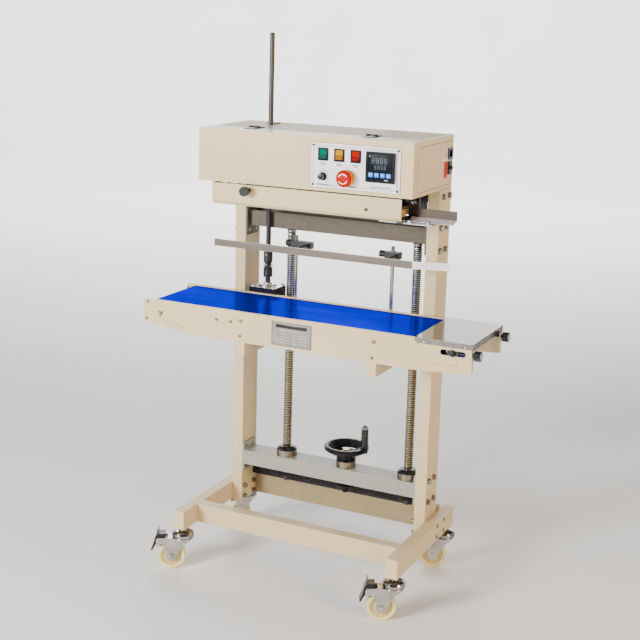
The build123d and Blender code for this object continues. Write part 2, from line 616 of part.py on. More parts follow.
def infeed_guide():
    """A bent strip that leads the bag's mouth to the bands, and the slotted strap below."""
    section = [(-49, 1004), (-49, 984), (-74, 976), (-74, 974.4), (-47.5, 982.9), (-47.5, 1004)]
    wall = plate_yz(section, 251, 374)
    wall += span((258, 278), (-47.5, -43), (984, HEAD_Z[0]))
    strap = span((200, 334), (-108, -84), (973, GUARD_Z[0]))
    strap -= span((288, 308), (-101, -95), (970, 980))
    for x in (288.0, 308.0):
        strap -= rod_z(x, -98, 970, 980, 3)
    for x in (275.0, 321.0):
        strap += Pos(x, -98, GUARD_Z[0]) * hexagon(BOLT_AF, 5.3)
    save("infeed_guide", wall, strap)


# ---------------------------------------------------------------- conveyor

def side_outline():
    x0, x1 = SIDE_X
    lower = [(x0, 665), (-290, SIDE_BOTTOM), (350, SIDE_BOTTOM), (x1, 654.5)]
    return [(x0, SIDE_TOP)] + lower + [(x1, SIDE_TOP)]


def side_panel(outer, inward):
    """One sheet side with folded edges; inward is +1 on the front sheet and -1 on the back."""
    y_in = outer + inward * SIDE_T
    sheet = plate_xz(side_outline(), min(outer, y_in), max(outer, y_in))
    x0, x1 = SIDE_X
    sheet += span((x0 + 32, x1), (outer, outer + inward * 8), (SIDE_TOP - SIDE_T, SIDE_TOP))
    sheet += span((-290, 350), (outer, outer + inward * 16), (SIDE_BOTTOM, SIDE_BOTTOM + SIDE_T))
    sheet += span((x0, x0 + SIDE_T), (outer, outer + inward * 9), (665, 716))
    sheet += span((x1 - SIDE_T, x1), (outer, outer + inward * 12), (656, SIDE_TOP))
    sheet -= rod_x(outer + inward * TENSION_INSET, TENSION_Z, x1 - 5, x1 + 1, TENSION_SCREW_R + 0.4)
    slot = span((401, 451), (outer - 3, outer + 3), (TENSION_Z - 6.5, TENSION_Z + 6.5))
    for x in (401, 451):
        slot += rod_y(x, TENSION_Z, outer - 3, outer + 3, 6.5)
    sheet -= slot
    for x, z in ((LEFT_ROLLER[0], LEFT_Z), DRIVE_ROLLER[:2]):
        sheet -= rod_y(x, z, outer - 4, outer + 4, ROLLER_AXLE_R + FIT)
    for (xa, za), (xb, zb) in (((-388, 676), (-297, 661)), ((353, 662), (438, 670))):
        length = math.hypot(xb - xa, zb - za)
        pitch = math.degrees(math.atan2(za - zb, xb - xa))
        middle = Pos((xa + xb) / 2, outer, (za + zb) / 2)
        sheet += middle * Rot(0, pitch + 90, 0) * Cylinder(RIB_R, length)
    return sheet


def conveyor_sides():
    front = side_panel(SIDE_FRONT, 1)
    for x, z in CAP_NUTS + PAN_SCREWS:
        front -= rod_y(x, z, SIDE_FRONT - 2, SIDE_FRONT + 4, 2.6)
    save("conveyor_side_panels", front, side_panel(SIDE_BACK, -1))


def conveyor_trim():
    """Nameplate with its rivets, side screws, tray rivets and the belt tension blocks."""
    pieces = []
    pan = turned(0, 0, [(0, 0), (4, 0), (3.4, 1.9), (0, 2.6)])
    heads = [(place, hexagon(10.0, 4.5)) for place in CAP_NUTS] + [(place, pan) for place in PAN_SCREWS]
    for (x, z), head in heads:
        screw = rod_y(x, z, SIDE_FRONT - 0.1, SIDE_FRONT + 6, 2.5)
        pieces.append(screw + Pos(x, SIDE_FRONT, z) * Rot(90, 0, 0) * head)
    (x0, x1), (z0, z1) = NAMEPLATE
    plate = span((x0, x1), (SIDE_FRONT - 1.0, SIDE_FRONT), (z0, z1))
    for x in (x0 + 4, x1 - 4):
        for z in (z0 + 4, z1 - 4):
            plate += rod_y(x, z, SIDE_FRONT - 2.0, SIDE_FRONT - 1.0, 2.0)
    pieces.append(plate)
    for y in TENSION_Y:
        outer, inward = (SIDE_FRONT, 1) if y < 0 else (SIDE_BACK, -1)
        depth = (outer + inward * (SIDE_T + 0.1), outer + inward * 11.5)
        block = span((411, 439), depth, (TENSION_Z - 9, TENSION_Z + 9))
        block += span((411, 439), (outer, y), (TENSION_Z - 6.3, TENSION_Z + 6.3))
        block -= rod_y(TAIL_ROLLER[0], TENSION_Z, SIDE_FRONT - 1, SIDE_BACK + 1, ROLLER_AXLE_R + FIT)
        pieces.append(block - rod_x(y, TENSION_Z, 433, 445, TENSION_SCREW_R + FIT))
    save("conveyor_trim", *pieces)


def belt_loop(r_extra):
    """A solid as wide as the belt that wraps its two end rollers with r_extra to spare."""
    (xa, ra), (xb, rb) = LEFT_ROLLER, TAIL_ROLLER
    za, zb = LEFT_Z, TENSION_Z
    along = math.atan2(zb - za, xb - xa)
    lean = math.asin((ra - rb) / math.hypot(xb - xa, zb - za))
    up, down = along + math.pi / 2 - lean, along - math.pi / 2 + lean
    corners = []
    for x, z, r, a in ((xa, za, ra, up), (xb, zb, rb, up), (xb, zb, rb, down), (xa, za, ra, down)):
        grown = r + r_extra
        corners.append((x + grown * math.cos(a), z + grown * math.sin(a)))
    solid = plate_xz(corners, *BELT_Y)
    for x, z, r in ((xa, za, ra), (xb, zb, rb)):
        solid += rod_y(x, z, *BELT_Y, r + r_extra)
    return solid


def conveyor_inside():
    """The belt loop, the bed it slides on and the three rollers."""
    clear = 0.3
    save("conveyor_belt", belt_loop(BELT_T) - belt_loop(0))
    bed_y = (SIDE_FRONT + SIDE_T, SIDE_BACK - SIDE_T)
    bed = span((-350, 392), bed_y, (BELT_TOP - BELT_T - 2.3, BELT_TOP - BELT_T - clear))
    for x in (-290.0, -60.0, 150.0, 300.0):
        bed += rod_y(x, 694, *bed_y, 7.0) + span((x - 2, x + 2), bed_y, (694, BELT_TOP - BELT_T - 1))
    save("conveyor_bed", bed)
    left = rod_y(LEFT_ROLLER[0], LEFT_Z, -166, 28, LEFT_ROLLER[1] - clear)
    save("left_roller", left + rod_y(LEFT_ROLLER[0], LEFT_Z, SIDE_FRONT, SIDE_BACK, ROLLER_AXLE_R))
    x, z, r = DRIVE_ROLLER
    save("drive_roller", rod_y(x, z, -166, 28, r) + rod_y(x, z, SIDE_FRONT, 62, ROLLER_AXLE_R))
    tail = rod_y(TAIL_ROLLER[0], TENSION_Z, -165, 27, TAIL_ROLLER[1] - clear)
    save("tail_roller", tail + rod_y(TAIL_ROLLER[0], TENSION_Z, SIDE_FRONT, SIDE_BACK, ROLLER_AXLE_R))


def infeed_tray():
    """A polished cover over the infeed end, with a flange down each side sheet."""
    t = 1.5
    y0, y1 = SIDE_FRONT - t, SIDE_BACK + t
    x1 = SIDE_X[1]
    tray = span((TRAY_X, x1 + t), (y0, y1), (SIDE_TOP, SIDE_TOP + t))
    for y, face, sign in ((y0, y0, -1), (SIDE_BACK, y1, 1)):
        flange = span((TRAY_X, x1 + t), (y, y + t), (SIDE_TOP - 12, SIDE_TOP))
        flange -= span((TRAY_X, TRAY_X + 9), (y, y + t), (SIDE_TOP - 12, SIDE_TOP - 3))
        flange += rod_y(TRAY_X + 9, SIDE_TOP - 3, y, y + t, 9.0)
        flange -= span((TRAY_X - 1, TRAY_X + 20), (y, y + t), (SIDE_TOP + t, SIDE_TOP + 12))
        tray += flange
        for x in (355.5, 455.0):
            tray += rod_y(x, SIDE_TOP - 7, face, face + sign * 1.2, 2.2)
    tray += span((x1, x1 + t), (y0, y1), (SIDE_TOP - 14, SIDE_TOP + t))
    save("infeed_tray", tray)


def tension_knobs():
    x1 = SIDE_X[1]
    for name, y in zip(("front", "rear"), TENSION_Y):
        knob = Pos(x1 + 5, y, TENSION_Z) * Rot(0, 90, 0) * lobed_knob(12.0, 15, 8)
        knob += rod_x(y, TENSION_Z, 434, x1 + 6, TENSION_SCREW_R)
        knob += rod_x(y, TENSION_Z, x1 + 2.5, x1 + 5, 7.0)
        save(f"tension_knob_{name}", knob)


def lift_arms():
    """Two tubes under the conveyor, each ending in the nut that rides on a lead screw."""
    pieces = []
    y0, y1 = SIDE_FRONT + 1, 76.0
    for x in SCREW_X:
        tube = span((x - ARM_W / 2, x + ARM_W / 2), (y0, y1), ARM_Z)
        bore_x = (x - ARM_W / 2 + TUBE_WALL, x + ARM_W / 2 - TUBE_WALL)
        tube -= span(bore_x, (y0 + TUBE_WALL, y1 + 1), (ARM_Z[0] + TUBE_WALL, ARM_Z[1] - TUBE_WALL))
        nut = span((x - 18, x + 18), (y1, 118), (602, 648)) - rod_z(x, SCREW_Y, 600, 650, SCREW_R + FIT)
        pieces += [tube, nut]
    save("lift_arms", *pieces)


def gearbox():
    (x0, x1), (z0, z1) = GEARBOX_X, GEARBOX_Z
    body = span((x0, x1), (SIDE_BACK, 112), (z0, z1))
    body = fillet(body.edges().filter_by(Axis.Z).group_by(Axis.Y)[-1], 10.0)
    body += rod_z(SHAFT_X, SHAFT_Y, z1, z1 + 6, 24.0) + rod_z(SHAFT_X, SHAFT_Y, z1 + 6, z1 + 10, 12.0)
    for dx in (-30, 30):
        for dy in (-24, 28):
            body += Pos(SHAFT_X + dx, SHAFT_Y + dy, z1) * hexagon(8.0, 4.0)
    body -= rod_z(SHAFT_X, SHAFT_Y, 715, 750, 7.0 + FIT)
    body -= rod_y(DRIVE_ROLLER[0], DRIVE_ROLLER[1], 38, 63, ROLLER_AXLE_R + FIT)
    save("gearbox", body)


def drive_shaft():
    neck = rod_z(SHAFT_X, SHAFT_Y, 720, 762, 7.0)
    joint = [(0, 762), (12, 762), (12, 784), (9, 788), (9, 798), (12, 802), (12, 830), (0, 830)]
    rod = [(0, 830), (SHAFT_R, 830), (SHAFT_R, SHAFT_TIP - 3), (4.5, SHAFT_TIP), (0, SHAFT_TIP)]
    save("drive_shaft", neck, turned(SHAFT_X, SHAFT_Y, joint), turned(SHAFT_X, SHAFT_Y, rod))


def bag_guide():
    """A flat bar on two rods; the rods slide in clamps at the tops of two posts."""
    t = 3.0
    z0, z1 = 853.5, 872.0
    bend_x, end = 266.0, (352.0, -17.0)
    bar = span((-288, bend_x), (BAR_Y, BAR_Y + t), (z0, z1))
    slope = math.atan2(end[1] - BAR_Y, end[0] - bend_x)
    shift = (-t * math.sin(slope), t * math.cos(slope))
    flare = [(bend_x, BAR_Y), end, (end[0] + shift[0], end[1] + shift[1]), (bend_x, BAR_Y + t)]
    bar += Pos(0, 0, z0) * extrude(make_face(Polyline(*flare, close=True)), amount=z1 - z0)
    for x in ROD_X:
        bar += rod_y(x, ROD_Z, BAR_Y + t - 0.5, ROD_BACK, POST_R)
    save("guide_bar", bar)
    pieces = []
    for name, post, rod, (x0, x1) in zip(("left", "right"), POST_X, ROD_X, CLAMP_X):
        clamp = span((x0, x1), (36, 55), (855.5, 872.5))
        clamp -= rod_y(rod, ROD_Z, 30, 60, POST_R + FIT)
        clamp -= rod_z(post, POST_Y, 850, 880, POST_R)
        clamp -= rod_x(CLAMP_SCREW_Y, ROD_Z, x0 - 1, x0 + 4, 3.05)
        foot = span((post - 11, post + 11), (SIDE_BACK, 56), (690, 714))
        foot -= rod_z(post, POST_Y, 680, 720, POST_R)
        pieces += [clamp, rod_z(post, POST_Y, 655, 886, POST_R), foot]
        knob = Pos(x0 - 4, CLAMP_SCREW_Y, ROD_Z) * Rot(0, -90, 0) * lobed_knob(8.5, 14, 6)
        save(f"clamp_knob_{name}", knob + rod_x(CLAMP_SCREW_Y, ROD_Z, x0 - 5, x0 + 3.5, 3.0))
    save("guide_posts", *pieces)


def main():
    os.makedirs("parts", exist_ok=True)
    base_rails()
    cross_rails()
    uprights()
    cross_beams()
    frame_fasteners()
    bearing_collars()
    lift_drive()
    castors()
    head_housing()
    lid()
    front_guard()
    control_panel()
    power_inlet()
    sealing_unit()
    drive_motor()
    infeed_guide()
    conveyor_sides()
    conveyor_trim()
    conveyor_inside()
    infeed_tray()
    tension_knobs()
    lift_arms()
    gearbox()
    drive_shaft()
    bag_guide()


main()
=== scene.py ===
"""Looks for the continuous band sealer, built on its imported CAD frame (metres, the CAD's own axes)."""
import math

import bmesh
import bpy
from mathutils import Matrix, Vector


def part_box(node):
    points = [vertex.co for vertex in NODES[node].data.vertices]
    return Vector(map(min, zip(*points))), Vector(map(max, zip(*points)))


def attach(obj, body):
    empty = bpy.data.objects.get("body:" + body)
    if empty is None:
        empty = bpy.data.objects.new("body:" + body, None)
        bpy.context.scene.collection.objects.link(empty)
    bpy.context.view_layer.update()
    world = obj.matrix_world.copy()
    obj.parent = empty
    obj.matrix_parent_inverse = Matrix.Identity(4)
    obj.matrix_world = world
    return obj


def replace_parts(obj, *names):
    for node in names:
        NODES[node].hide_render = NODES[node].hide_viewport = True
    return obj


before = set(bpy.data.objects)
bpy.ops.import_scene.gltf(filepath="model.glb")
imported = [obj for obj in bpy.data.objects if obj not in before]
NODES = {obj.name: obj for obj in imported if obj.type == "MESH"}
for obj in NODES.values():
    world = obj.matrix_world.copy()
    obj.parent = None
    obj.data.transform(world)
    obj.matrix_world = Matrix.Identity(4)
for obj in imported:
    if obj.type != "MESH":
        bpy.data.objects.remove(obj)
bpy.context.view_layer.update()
MM = 0.001


def mm(*values):
    """Millimetres to a vector in metres."""
    return Vector([v * MM for v in values])


# ------------------------------------------------------------------ materials

class Material:
    """A Principled material whose colour, roughness and bump come from noise in the part's own space."""

    def __init__(self, name, metal=0.0, coat=0.0, coat_rough=0.08, specular=0.5):
        self.material = bpy.data.materials.new(name)
        self.material.use_nodes = True
        self.tree = self.material.node_tree
        self.shader = self.tree.nodes["Principled BSDF"]
        self.shader.inputs["Metallic"].default_value = metal
        self.shader.inputs["Coat Weight"].default_value = coat
        self.shader.inputs["Coat Roughness"].default_value = coat_rough
        self.shader.inputs["Specular IOR Level"].default_value = specular
        self.place = self.node("ShaderNodeTexCoord").outputs["Object"]
        self.normal = None

    def node(self, kind, **settings):
        made = self.tree.nodes.new(kind)
        for key, value in settings.items():
            setattr(made, key, value)
        return made

    def link(self, source, target):
        self.tree.links.new(source, target)

    def math(self, operation, first, second):
        made = self.node("ShaderNodeMath", operation=operation)
        for value, socket in ((first, made.inputs[0]), (second, made.inputs[1])):
            if isinstance(value, bpy.types.NodeSocket):
                self.link(value, socket)
            else:
                socket.default_value = value
        return made.outputs["Value"]

    def noise(self, scale, detail=4.0, stretch=(1, 1, 1), rough=0.55):
        """Noise in the part's space, scaled per axis so that it runs long along the small numbers."""
        mapping = self.node("ShaderNodeMapping")
        mapping.inputs["Scale"].default_value = stretch
        self.link(self.place, mapping.inputs["Vector"])
        made = self.node("ShaderNodeTexNoise")
        made.inputs["Scale"].default_value = scale
        made.inputs["Detail"].default_value = detail
        made.inputs["Roughness"].default_value = rough
        self.link(mapping.outputs["Vector"], made.inputs["Vector"])
        return made.outputs["Fac"]

    def above(self, axis, millimetres):
        """1 where the part's own x, y or z is over this height."""
        parts = self.node("ShaderNodeSeparateXYZ")
        self.link(self.place, parts.inputs["Vector"])
        return self.math("GREATER_THAN", parts.outputs[axis], millimetres * MM)

    def near(self, centre, radius, flatten=(1, 1, 1)):
        """1 within a radius of a point, or of a line along the axis that flatten sets to zero."""
        offset = self.node("ShaderNodeVectorMath", operation="SUBTRACT")
        self.link(self.place, offset.inputs[0])
        offset.inputs[1].default_value = mm(*centre)
        flat = self.node("ShaderNodeVectorMath", operation="MULTIPLY")
        self.link(offset.outputs["Vector"], flat.inputs[0])
        flat.inputs[1].default_value = flatten
        length = self.node("ShaderNodeVectorMath", operation="LENGTH")
        self.link(flat.outputs["Vector"], length.inputs[0])
        return self.math("LESS_THAN", length.outputs["Value"], radius * MM)

    def ramp(self, value, low, high, start=0.3, end=0.7):
        """Two colours across a value."""
        made = self.node("ShaderNodeValToRGB")
        first, last = made.color_ramp.elements
        first.position, first.color = start, (*low, 1.0)
        last.position, last.color = end, (*high, 1.0)
        self.link(value, made.inputs["Fac"])
        return made.outputs["Color"]

    def spread(self, value, low, high, start=0.3, end=0.7):
        """Maps a value from start..end to low..high, held at both ends."""
        made = self.node("ShaderNodeMapRange")
        for key, number in (("From Min", start), ("From Max", end), ("To Min", low), ("To Max", high)):
            made.inputs[key].default_value = number
        self.link(value, made.inputs["Value"])
        return made.outputs["Result"]

    def mix(self, factor, first, second):
        made = self.node("ShaderNodeMix", data_type="RGBA")
        for value, socket in ((factor, made.inputs[0]), (first, made.inputs[6]), (second, made.inputs[7])):
            if isinstance(value, bpy.types.NodeSocket):
                self.link(value, socket)
            else:
                socket.default_value = (*value, 1.0) if isinstance(value, tuple) else value
        return made.outputs[2]

    def set(self, key, output):
        self.link(output, self.shader.inputs[key])

    def bump(self, height, distance, strength=1.0):
        """Adds a bump of this depth in metres over any earlier one."""
        made = self.node("ShaderNodeBump")
        made.inputs["Strength"].default_value = strength
        made.inputs["Distance"].default_value = distance
        self.link(height, made.inputs["Height"])
        if self.normal is not None:
            self.link(self.normal, made.inputs["Normal"])
        self.normal = made.outputs["Normal"]
        self.set("Normal", self.normal)

    def soften(self, radius):
        """Rounds hard edges in the shading, and returns 1 near an edge."""
        rounded = self.node("ShaderNodeBevel", samples=4)
        rounded.inputs["Radius"].default_value = radius
        self.normal = rounded.outputs["Normal"]
        self.set("Normal", self.normal)
        dot = self.node("ShaderNodeVectorMath", operation="DOT_PRODUCT")
        self.link(rounded.outputs["Normal"], dot.inputs[0])
        self.link(self.node("ShaderNodeNewGeometry").outputs["Normal"], dot.inputs[1])
        return self.spread(dot.outputs["Value"], 1.0, 0.0, 0.80, 0.99)


def shade(colour, share):
    return tuple(min(1.0, share * c) for c in colour)


def paint(name, colour, edge, rough=0.36, coat=0.04, specular=0.22, regions=()):
    """Powder coat: orange peel, a slow drift of tone, faint dust, and paler edges that are partly rubbed
    wear and partly painted highlight.
    Regions are (mask, colour, roughness, metal) laid over it where the mask is 1."""
    m = Material(name, coat=coat, coat_rough=0.22, specular=specular)
    near_edge = m.soften(0.0012)
    body = m.ramp(m.noise(5.0, 3.0), shade(colour, 0.90), colour)
    dust = m.spread(m.noise(38.0, 8.0, rough=0.7), 0.0, 0.22, 0.55, 0.85)
    body = m.mix(dust, body, shade(colour, 0.70))
    # paler edges: partly rubbed wear, partly painted highlight along every edge
    rubbed_edge_and_highlight = m.math("MULTIPLY", near_edge, m.spread(m.noise(60.0, 6.0), 0.15, 0.85))
    m.bump(m.noise(750.0, 2.0), 0.00010, 0.35)
    lay_over(m, m.mix(rubbed_edge_and_highlight, body, edge), m.spread(m.noise(24.0, 5.0), rough - 0.06, rough + 0.10), regions)
    return m.material


def lay_over(m, colour, rough, regions, metal=0.0):
    """Sets colour and roughness, with other finishes laid over the masked regions of the same part."""
    metallic = None
    for mask, other, other_rough, other_metal in regions:
        mask = mask(m)
        colour = m.mix(mask, colour, m.ramp(m.noise(70.0, 5.0), shade(other, 0.8), other))
        rough = m.math("ADD", m.math("MULTIPLY", rough, m.math("SUBTRACT", 1.0, mask)),
                       m.math("MULTIPLY", mask,
                              m.spread(m.noise(90.0, 5.0), other_rough, other_rough + 0.12)))
        if other_metal != metal:
            before = metal if metallic is None else metallic
            metallic = m.math("ADD", m.math("MULTIPLY", m.math("SUBTRACT", 1.0, mask), before),
                              m.math("MULTIPLY", mask, other_metal))
    m.set("Base Color", colour)
    m.set("Roughness", rough)
    if metallic is not None:
        m.set("Metallic", metallic)


def brushed(name, colour, rough=0.28, grain=(4.0, 900.0, 900.0), dark=0.66, depth=0.00003, regions=()):
    """Brushed or turned metal: grain lines that change colour, roughness and height together."""
    m = Material(name, metal=1.0)
    m.soften(0.0005)
    lines = m.noise(1.0, 3.0, grain)
    base = m.ramp(lines, shade(colour, dark), colour, 0.25, 0.75)
    base = m.mix(m.spread(m.noise(18.0, 5.0), 0.0, 0.35), base, shade(colour, 0.7))
    m.bump(lines, depth, 0.6)
    lay_over(m, base, m.spread(lines, rough - 0.07, rough + 0.10), regions, metal=1.0)
    return m.material


def polished(name, colour, rough=0.10, regions=(), patches=90.0, dark=0.75):
    """Chrome or bright plate with faint marks and a cloudy tone; with large patches and a low dark share the
    tone becomes painted reflection, dark and bright patches.
    """
    m = Material(name, metal=1.0)
    m.soften(0.0005)
    marks_and_reflections = m.noise(patches, 8.0, rough=0.7)
    m.bump(m.noise(400.0, 3.0), 0.00003, 0.4)
    lay_over(m, m.ramp(marks_and_reflections, shade(colour, dark), colour, 0.35, 0.6),
             m.spread(marks_and_reflections, rough, rough + 0.14, 0.4, 0.8), regions, metal=1.0)
    return m.material


def plastic(name, colour, rough=0.35, coat=0.0, grain=0.00006, light=1.25, glow=0.0, regions=(),
            tint=(1.0, 1.0, 1.0), specular=0.35):
    """Moulded plastic: fine grain, slight drift in tone and gloss."""
    m = Material(name, coat=coat, specular=specular)
    m.shader.inputs["Specular Tint"].default_value = (*tint, 1.0)
    m.soften(0.0006)
    m.bump(m.noise(1400.0, 2.0), grain, 0.4)
    lay_over(m, m.ramp(m.noise(45.0, 5.0), shade(colour, 0.82), shade(colour, light)),
             m.spread(m.noise(120.0, 4.0), rough - 0.07, rough + 0.10), regions)
    if glow:
        m.shader.inputs["Emission Color"].default_value = (*colour, 1.0)
        m.shader.inputs["Emission Strength"].default_value = glow
    return m.material


def belt_blue():
    """Glossy PVC belt: deep blue with a fine fabric print, a drift of gloss and rubbed bands along it."""
    m = Material("belt_blue", metal=0.45, specular=0.0)
    m.soften(0.0008)
    m.shader.inputs["Specular Tint"].default_value = (0.0005, 0.035, 0.80, 1.0)
    weave = m.noise(1.0, 2.0, (900.0, 900.0, 900.0))
    drift = m.noise(9.0, 5.0, (0.4, 1.6, 1.0))
    base = m.ramp(drift, (0.0002, 0.007, 0.36), (0.0003, 0.014, 0.50))
    m.set("Base Color", m.mix(m.spread(weave, 0.0, 0.15), base, (0.0002, 0.005, 0.26)))
    m.set("Roughness", m.spread(drift, 0.12, 0.24))
    m.bump(weave, 0.00002, 0.3)
    return m.material


def nylon(name, centre):
    """Cast nylon wheel: pale yellow cream, deeper in the web, scuffed where it rolls."""
    m = Material(name, coat=0.15)
    m.soften(0.0008)
    scuff = m.noise(60.0, 8.0, rough=0.7)
    m.bump(m.noise(500.0, 4.0), 0.00008, 0.5)
    m.shader.inputs["Subsurface Weight"].default_value = 0.15
    m.shader.inputs["Subsurface Scale"].default_value = 0.004
    web = lambda m: m.near(centre, 28.0)
    lay_over(m, m.ramp(scuff, (0.52, 0.42, 0.14), (0.82, 0.71, 0.33), 0.25, 0.55),
             m.spread(scuff, 0.48, 0.30), [(web, (0.60, 0.48, 0.19), 0.4, 0.0)])
    return m.material


# ------------------------------------------------------------------ finishes

CREAM_COLOUR = (0.69, 0.540, 0.300)
CREAM_EDGE = (0.93, 0.87, 0.75)
BLACK = (0.008, 0.008, 0.009)
STEEL = (0.55, 0.52, 0.47)
BRASS = (0.60, 0.44, 0.20)
SHAFT_GREY = (0.10, 0.088, 0.080)
Y_LINE = (1, 0, 1)
Z_LINE = (1, 1, 0)


def band(axis, low, high):
    """A mask for the part between two heights along an axis."""
    return lambda m: m.math("SUBTRACT", m.above(axis, low), m.above(axis, high))


def over(axis, height):
    return lambda m: m.above(axis, height)


def around(centre, radius, flatten=(1, 1, 1)):
    return lambda m: m.near(centre, radius, flatten)


def both(first, second):
    return lambda m: m.math("MULTIPLY", first(m), second(m))


CREAM = paint("cream_paint", CREAM_COLOUR, CREAM_EDGE)
# the groove round the head's right end is painted dark brown: painted shade in the groove
GROOVE_SHADE = both(both(band("X", 282.9, 283.95), band("Y", -82.5, 141.5)), band("Z", 1041.5, 1152.5))
# the beams are painted greyer and darker than the frame, partly their own grey and partly painted shade;
# above 800 mm the upper beam is painted much darker again as painted shade under the guard
BEAM_PAINT = paint("beam_paint", (0.34, 0.325, 0.28), (0.62, 0.60, 0.54),
                   regions=[(over("Z", 800.0), (0.12, 0.097, 0.066), 0.42, 0.0)])
# the rear cross rail (Y over 0) is painted darker brown: painted shade under the lower beam
RAIL_PAINT = paint("rail_paint", CREAM_COLOUR, CREAM_EDGE,
                   regions=[(over("Y", 0.0), (0.33, 0.25, 0.13), 0.42, 0.0)])
HEAD_PAINT = paint("head_paint", CREAM_COLOUR, CREAM_EDGE, regions=[(GROOVE_SHADE, (0.30, 0.22, 0.13), 0.5, 0.0)])
# the near-black strip along the guard's top edge is a painted shadow line under the head's bottom edge
GUARD_PAINT = paint("guard_paint", CREAM_COLOUR, CREAM_EDGE,
                    regions=[(over("Z", 1029.6), (0.05, 0.038, 0.025), 0.5, 0.0)])
# the lid's cream is painted darker than the head's: painted shade on the lid top
LID_PAINT = paint("lid_paint", (0.54, 0.43, 0.265), CREAM_EDGE, 0.5, specular=0.1,
                  regions=[(over("Z", 1165.3), BLACK, 0.35, 0.0)])
PANEL_WHITE = paint("panel_white", (0.86, 0.86, 0.89), (0.93, 0.93, 0.93), rough=0.28, coat=0.3)
ARM_PAINT = paint("arm_paint", CREAM_COLOUR, CREAM_EDGE,
                  regions=[(over("Y", 76.3), (0.20, 0.19, 0.18), 0.35, 1.0)])
STAINLESS = brushed("stainless", STEEL, 0.26)
STEEL_DARK = brushed("steel_dark", (0.24, 0.22, 0.20), 0.34)
GUIDE_STEEL = brushed("guide_steel", (0.15, 0.124, 0.106), 0.36,
                      regions=[(over("Z", 871.2), (0.42, 0.38, 0.35), 0.3, 1.0),
                               (over("X", 264.0), (0.86, 0.90, 0.98), 0.4, 0.0)])
# the guide's dark brown body is painted shade inside the channel, the pale strip on its lip a painted
# reflection, and the black band at its left end painted shade under the head
INFEED_STEEL = brushed("infeed_steel", (0.085, 0.066, 0.052), 0.32,
                       regions=[(both(both(over("X", 262.0), over("Y", -80.0)), band("Z", 970.0, 983.5)),
                                 (0.60, 0.54, 0.57), 0.4, 0.1),
                                (band("Y", -110.0, -80.0), (0.36, 0.35, 0.34), 0.3, 1.0),
                                (both(band("X", 245.0, 262.0), over("Z", 973.0)), BLACK, 0.4, 0.0)])
# the tray's polished steel is painted dark, its front flange darker still: painted dark reflection
TRAY_STEEL = brushed("tray_steel", (0.22, 0.205, 0.195), 0.10, (3.0, 260.0, 260.0), 0.72, 0.00001,
                     regions=[(band("Z", 700.0, 722.8), (0.20, 0.175, 0.155), 0.2, 1.0)])
TURNED = brushed("turned_steel", (0.46, 0.44, 0.41), 0.24, (30.0, 30.0, 1500.0))
ROLLER = brushed("roller_steel", (0.46, 0.44, 0.41), 0.24, (30.0, 1500.0, 30.0),
                 regions=[(band("Y", -179.0, -177.5), CREAM_COLOUR, 0.4, 0.0)])
THREAD = brushed("threaded_steel", (0.50, 0.43, 0.29), 0.24, (60.0, 60.0, 500.0), 0.6,
                 regions=[(over("Z", 690.0), (0.46, 0.48, 0.50), 0.24, 1.0),
                          (around((-133.5, 97.0, 0), 10.9, Z_LINE), (0.05, 0.042, 0.03), 0.4, 1.0),
                          (around((223.0, 97.0, 0), 10.9, Z_LINE), (0.05, 0.042, 0.03), 0.4, 1.0),
                          (band("Z", 150.0, 262.0), (0.03, 0.03, 0.03), 0.5, 0.0)])
COLLAR_STEEL = brushed("collar_steel", (0.38, 0.325, 0.24), 0.18, (20.0, 20.0, 1500.0),
                       regions=[(over("Z", 282.0), BLACK, 0.18, 0.0)])
ZINC = polished("zinc_plate", (0.30, 0.275, 0.24), 0.18, dark=0.5,
                regions=[(band("Y", -125.0, -105.0), (0.07, 0.055, 0.04), 0.25, 1.0)])
# the cups' and forks' chrome get large dark and bright patches: painted reflections
CHROME = polished("chrome_plate", (0.44, 0.41, 0.385), 0.05, patches=34.0, dark=0.22)
FORK_CHROME = polished("fork_chrome", (0.66, 0.62, 0.58), 0.12, patches=22.0, dark=0.66)
RIVET_STEEL = polished("rivet_steel", (0.68, 0.66, 0.62), 0.14)
BLACK_METAL = plastic("black_oxide", BLACK, 0.30, grain=0.00003)
BLACK_PLASTIC = plastic("black_plastic", BLACK, 0.32)
BLACK_GLOSS = plastic("black_gloss", (0.006, 0.006, 0.008), 0.12, coat=0.15, grain=0.00002)
CHAIN = polished("chain_black", (0.055, 0.052, 0.048), 0.30)
RED_INK = plastic("red_ink", (0.52, 0.025, 0.015), 0.4, light=1.1, specular=0.15)
BLUE_INK = plastic("blue_ink", (0.10, 0.11, 0.34), 0.4, light=1.1, specular=0.15)
WHITE_INK = plastic("white_ink", (0.88, 0.88, 0.86), 0.4, light=1.05, specular=0.2)
YELLOW = plastic("yellow_plastic", (0.80, 0.30, 0.004), 0.26, light=1.05, specular=0.2)
RED_LENS = plastic("red_lens", (0.20, 0.002, 0.001), 0.2, grain=0.00001, light=1.05, specular=0.02,
                   regions=[(over("Z", 1123.0), (0.38, 0.007, 0.0005), 0.2, 0.0)])
GREEN_LENS = plastic("green_lens", (0.001, 0.085, 0.058), 0.2, grain=0.00001, light=1.05, specular=0.02,
                     regions=[(over("Z", 1123.0), (0.001, 0.13, 0.085), 0.2, 0.0)])
YELLOW_LENS = plastic("yellow_lens", (0.30, 0.12, 0.0), 0.2, grain=0.00001, light=1.05, specular=0.02,
                      regions=[(over("Z", 1123.0), (0.50, 0.26, 0.0), 0.2, 0.0)])
ESTOP_RED = plastic("estop_red", (0.44, 0.004, 0.0005), 0.24, coat=0.03, light=1.1, specular=0.06,
                    regions=[(over("Y", -131.5), (0.90, 0.38, 0.004), 0.26, 0.0)])
WINDOW = plastic("window_black", (0.006, 0.007, 0.012), 0.30, grain=0.00001, specular=0.05)
FIELD_INK = plastic("field_ink", (0.46, 0.43, 0.40), 0.4, light=1.05, specular=0.15)
